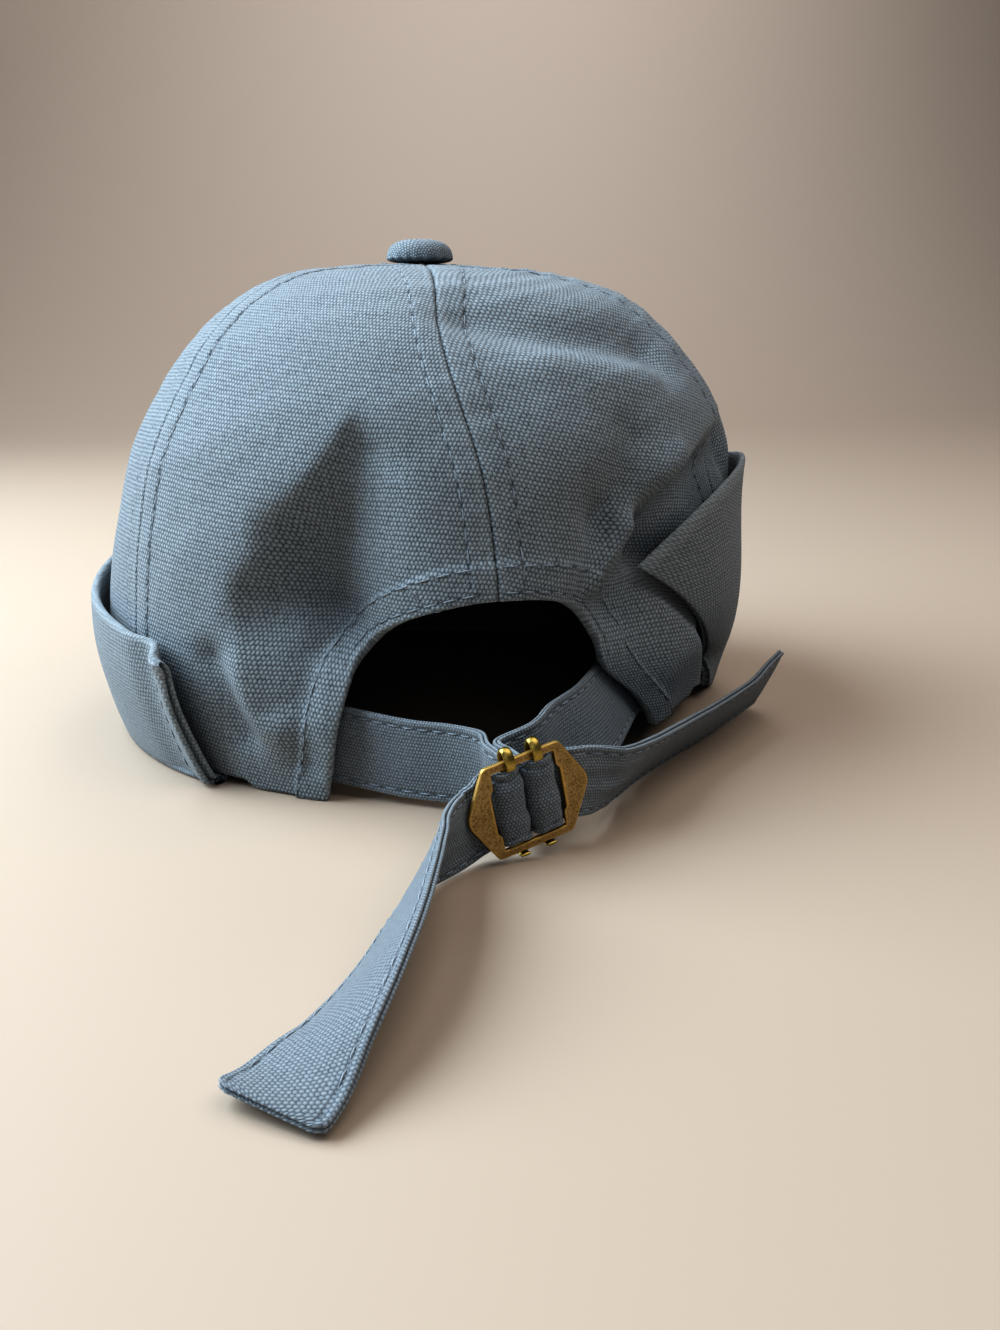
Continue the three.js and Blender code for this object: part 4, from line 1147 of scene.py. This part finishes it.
select_only()
bpy.ops.mesh.primitive_circle_add(vertices=len(outline_loop), radius=15 * MM)
plate = bpy.context.object
plate.name = "antique_plate"
edit("DESELECT")
bpy.ops.mesh.primitive_circle_add(vertices=len(window_loop), radius=9 * MM)
leave_edit()
for vertex, (x, y) in zip(plate.data.vertices, outline_loop + window_loop):
    vertex.co = Vector((x, y, -PLATE_THICK / 2)) * MM
edit("SELECT")
bpy.ops.mesh.bridge_edge_loops()
extrude(0, 0, PLATE_THICK)
turn_outwards()
finish_metal(plate, 0.28, 3, 60, 35, antique_brass, rim=0.35)
dress(plate, "brass", "buckle_frame")

# %% [markdown]
# ## Bars
# Each bar is a bent brass strip: a round middle that the strap rolls over, flattened at both ends into a hook
# that grips a rod of the plate.  A round profile is drawn up to the rod and spun round it.

# %% Bend the bars
BAR_RADIUS = 0.9
BAR_ASIDE = 3.3  # from the buckle's middle
BAR_BEHIND = 1.9  # behind the plate's middle, and so the radius of a hook's loop
ROD_AT = 10.1  # height of the middle of the plate's rods
HOOK_SPREAD = 1.35  # how much wider than the bar a hook is
HOOK_LIP = 1.3  # how far a hook comes down in front of its rod
HOOK_RISE = 1.7  # how much taller than wide the upper hook's loop is
HOOK_THIN = 0.6  # share of its thickness that a hook loses


def bend_bar(name, side, node):
    select_only()
    bpy.ops.mesh.primitive_circle_add(
        vertices=20, radius=BAR_RADIUS * MM, fill_type="NGON",
        location=(side * BAR_ASIDE * MM, 0, -BAR_BEHIND * MM), rotation=(math.pi / 2, 0, 0))
    bar = bpy.context.object
    bar.name = name
    bpy.ops.object.transform_apply(location=True, rotation=True, scale=True)
    edit("SELECT")
    extrude(0, ROD_AT, 0)
    bpy.ops.mesh.spin(steps=16, angle=math.radians(-180), center=(0, ROD_AT * MM, 0), axis=(1, 0, 0))
    extrude(0, -HOOK_LIP, 0)
    leave_edit()
    select_faces(bar, lambda face: face.center.y < 1e-6 and abs(face.normal.y) > 0.9)
    extrude(0, -ROD_AT, 0)
    bpy.ops.mesh.spin(steps=10, angle=math.radians(125), center=(0, -ROD_AT * MM, 0), axis=(1, 0, 0))
    bpy.ops.mesh.select_all(action="SELECT")
    bpy.ops.mesh.remove_doubles(threshold=0.01 * MM)
    turn_outwards()
    for vertex in bar.data.vertices:
        beyond = abs(vertex.co.y) / MM - ROD_AT + BAR_RADIUS
        hooked = float(smoothstep(0, 1.2, beyond)) if vertex.co.z < 0 else 1.0
        vertex.co.x += (vertex.co.x - side * BAR_ASIDE * MM) * (HOOK_SPREAD - 1) * hooked
        rod = math.copysign(ROD_AT * MM, vertex.co.y)
        past = Vector((vertex.co.y - rod, vertex.co.z))
        if hooked > 0 and past.length > 0:
            past = past.normalized() * between(BAR_BEHIND, past.length / MM, 1 - HOOK_THIN * hooked) * MM
            stretch = HOOK_RISE if vertex.co.y > 0 and past.x > 0 else 1.0
            vertex.co.y, vertex.co.z = rod + past.x * stretch, past.y
    finish_metal(bar, 0.12, 2, 50, 50, bright_brass)
    dress(bar, "brass", node)


bend_bar("left_bar_hooked", -1, "buckle_bar_left")
bend_bar("right_bar_hooked", 1, "buckle_bar_right")

# %% [markdown]
# ## Covered button
# A disc of the same canvas is gathered over a domed button blank and drawn together beneath it.  A sphere is
# flattened to the blank's form, its underside is pulled in, and the gathers are pressed into the rim.

# %% Cover the button
BUTTON_RADIUS = 9.3
BUTTON_FOOT = 128.9  # height of its underside
BUTTON_DOME, BUTTON_UNDER = 5.1, 1.5  # height of its top and its underside, from its widest level
GATHERS = 17
GATHER_DEPTH = 0.22
CLOTH_RUN = 8.0  # cloth from the middle of the disc, for each radian down the button

select_only()
bpy.ops.mesh.primitive_uv_sphere_add(segments=136, ring_count=72, radius=1)
button = bpy.context.object
button.name = "covered_button"
sphere = np.array([v.co for v in button.data.vertices])
turn = np.arctan2(sphere[:, 1], sphere[:, 0])
sink = np.arccos(np.clip(sphere[:, 2], -1, 1))  # from 0 at the top to pi underneath
top = sink < math.pi / 2
level = np.abs(np.cos(sink)) ** 0.9 * np.where(top, BUTTON_DOME, -BUTTON_UNDER) + BUTTON_UNDER
gather = smoothstep(1.15, 1.9, sink) * smoothstep(3.1, 2.4, sink)
gather = gather * np.cos(turn * GATHERS + 1.3 * np.sin(turn * 3))
uneven = 1 + 0.012 * np.sin(2 * turn + 1)
reach = np.abs(np.sin(sink)) ** np.where(top, 0.65, 0.75) * BUTTON_RADIUS * uneven + GATHER_DEPTH * gather
shaped = np.stack([reach * np.cos(turn), reach * np.sin(turn), BUTTON_FOOT + level - 0.1 * gather], -1)
button.data.vertices.foreach_set("co", (shaped * MM).ravel())
button.data.update()
lay_flat(button.data, CLOTH_RUN * np.stack([sink * np.cos(turn), sink * np.sin(turn)], -1))
for label in ("rub", "needle_hole_shade"):
    button.data.attributes.new(label, "FLOAT", "POINT")
bpy.ops.object.shade_smooth()
button.data.materials.append(canvas)
dress(button, "canvas", "top_button")

# %% [markdown]
# ## Stitches
# Every seam is topstitched on both sides, the opening and the cuff's ends are hemmed, and the straps are
# edge-stitched, all in a slightly lighter thread.  One stitch is a small plump capsule; it is modelled once
# and copied along each row, dipping into the cloth at both ends.

# %% One stitch
THREAD_RADIUS = 0.2
THREAD_PROUD = 0.24  # how far the middle of a stitch stands off the cloth
THREAD_DIP = 2.2 * THREAD_RADIUS  # and how far its ends go down
STITCH_SHARE = 0.8  # share of the pitch that lies on top of the cloth

select_only()
bpy.ops.mesh.primitive_uv_sphere_add(segments=6, ring_count=6, radius=1, rotation=(0, math.pi / 2, 0))
stitch = bpy.context.object
bpy.ops.object.transform_apply(location=True, rotation=True, scale=True)
stitch_points = np.array([v.co for v in stitch.data.vertices])
stitch_points[:, 0] = np.sign(stitch_points[:, 0]) * np.abs(stitch_points[:, 0]) ** 1.4 / 2
stitch_faces = [list(p.vertices) for p in stitch.data.polygons]
bpy.data.objects.remove(stitch)
print("one stitch:", len(stitch_faces), "faces")

# Three plies twisted at about 0.8 mm a turn, drawn as slanting stripes round the smooth, slightly shiny thread;
# the darker stripes are painted shade between the plies.
thread, thread_shader = new_material("twisted polyester sewing thread")
round_thread = add_node(thread, "UVMap", [], uv_map="UVMap")
plies = add_node(thread, "TexWave", {"Vector": round_thread, "Scale": 0.35, "Distortion": 0.6}, "Fac",
                 bands_direction="DIAGONAL")
shade = add_node(thread, "Mix", {0: plies, 6: linear("59626a"), 7: linear("98a2aa")}, 2, data_type="RGBA")
twist = add_node(thread, "Bump", {"Strength": 0.4, "Distance": 0.1 * MM, "Height": plies})
finish_shader(thread, thread_shader, {"Base Color": shade, "Normal": twist}, Roughness=0.55, Sheen_Weight=0.3)


def sew(name, rows):
    """Copies the stitch along rows of holes.  A row is its holes and the cloth's outward normals there."""
    points, flat = [], []
    x, y, z = stitch_points.T
    arched = z * THREAD_RADIUS + THREAD_PROUD - THREAD_DIP * (x * 2) ** 4
    for holes, normals in rows:
        for k, run in enumerate(np.diff(holes, axis=0)):
            length = np.linalg.norm(run)
            forward = run / length
            aside = unit(np.cross(unit(normals[k] + normals[k + 1]), forward))
            points.append((holes[k] + holes[k + 1]) / 2 + np.outer(x * length * STITCH_SHARE, forward)
                          + np.outer(y * THREAD_RADIUS, aside) + np.outer(arched, np.cross(forward, aside)))
            flat.append(np.stack([x * length + k, np.arctan2(z, y)], -1))
    faces = [[v + i * len(x) for v in face] for i in range(len(points)) for face in stitch_faces]
    mesh = bpy.data.meshes.new(name)
    mesh.from_pydata((np.concatenate(points) * MM).tolist(), [], faces)
    lay_flat(mesh, np.concatenate(flat))
    piece = bpy.data.objects.new(name, mesh)
    bpy.context.collection.objects.link(piece)
    select_only(piece)
    edit()
    turn_outwards()
    bpy.ops.object.shade_smooth()
    mesh.materials.append(thread)
    print(name, len(points), "stitches")
    return dress(piece, "canvas")


# %% Rows on the gores


def sewn_surface(gore, angle, up):
    """Places and outward normals on the finished outer face of a gore."""
    normal = normal_of(crown, angle, up)
    return crown(angle, up) + normal * gore_face(gore, angle, up)[0][..., None], normal


ABOVE_RIM = 3.0  # where the rows begin
BELOW_TOP = 12  # how far under the button's middle they end

seam_rows = []
for gore in GORES:
    for seam, turn in ((gore[1], 1), (gore[2], -1)):
        low_end = OPENING_TOP + 0.5 if seam == BACK_SEAM else ABOVE_RIM
        ups = np.arange(math.ceil(low_end / SEAM_PITCH) * SEAM_PITCH, CROWN_UP - BELOW_TOP, SEAM_PITCH)
        angle = np.full(len(ups), float(seam))
        for _ in range(4):  # the cloth's reach changes with the angle, so this closes in on the place
            angle = seam + turn * np.degrees(TOPSTITCH / reach_at(angle, ups))
        seam_rows.append(sewn_surface(gore, angle, ups))
sew("seam_topstitching", seam_rows)

# %% Rows round the opening
HEM_THREAD_PROUD = 0.12  # the hem is firm, so its stitches hardly sink into it
CLEAR_OF_SEAM, CLEAR_OF_RIM = 0.3, 2.5  # its rows stop this near the back seam and the rim


def beside_opening(side, distance, first, pitch):
    """Needle holes at a distance from the opening's edge, from a length along it to the back seam."""
    edge, length = opening_edge(side)
    line = in_rim_mm(edge)
    run = unit(np.gradient(line, axis=0))
    away = np.stack([run[:, 1], -run[:, 0]], -1) * side
    wanted = np.arange(math.ceil(first / pitch) * pitch, length, pitch)
    holes = at_lengths(wanted, np.linspace(0, length, len(edge)), line + away * distance)
    holes = holes[(holes[:, 0] * side > CLEAR_OF_SEAM) & (holes[:, 1] > CLEAR_OF_RIM)]
    return BACK_SEAM + np.degrees(holes[:, 0] / RIM_REACH), holes[:, 1]


opening_rows = []
for gore in GORES[:2]:
    for distance, first in zip(ARCH_ROWS_AT, (UPRIGHT_HEM, 2.0)):
        places = beside_opening(opening_side(gore), distance, first, HEM_PITCH)
        holes, normals = sewn_surface(gore, *places)
        opening_rows.append((holes + HEM_THREAD_PROUD * normals, normals))
sew("opening_stitching", opening_rows)

# %% Rows on the cuff and the straps
column = np.argmin(np.abs(left_away - CUFF_HEM))
wall = slice(len(FOLD_OUT) + 4, len(cuff_outer) - 6)
line, behind = cuff_outer[wall, column], cuff_inner[wall, column]
along = length_so_far(line)
holes = np.arange(0, along[-1], HEM_PITCH)
sew("cuff_stitching", [tuple(at_lengths(holes, along, values) for values in (line, unit(line - behind)))])

STRAP_ROW_AT = 0.72  # from a strap's middle to its stitches, which draw its face in


def strap_rows(frames):
    """Both edges of both faces of a strap."""
    middle, across, face, half, length = frames
    rows = []
    holes = np.arange(STRAP_PITCH * 2, length[-1] - STRAP_PITCH, STRAP_PITCH)
    for sign in (-1, 1):
        for front in (-1, 1):
            wide = sign * (1 - STRAP_STITCH / (STRAP_WIDTH / 2)) * half[:, None]
            spots = middle + across * wide + face * front * STRAP_ROW_AT
            rows.append(tuple(at_lengths(holes, length, values) for values in (spots, face * front)))
    return rows


sew("strap_stitching", strap_rows(left_frames) + strap_rows(right_frames))

# %% Measure and finish
low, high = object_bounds()
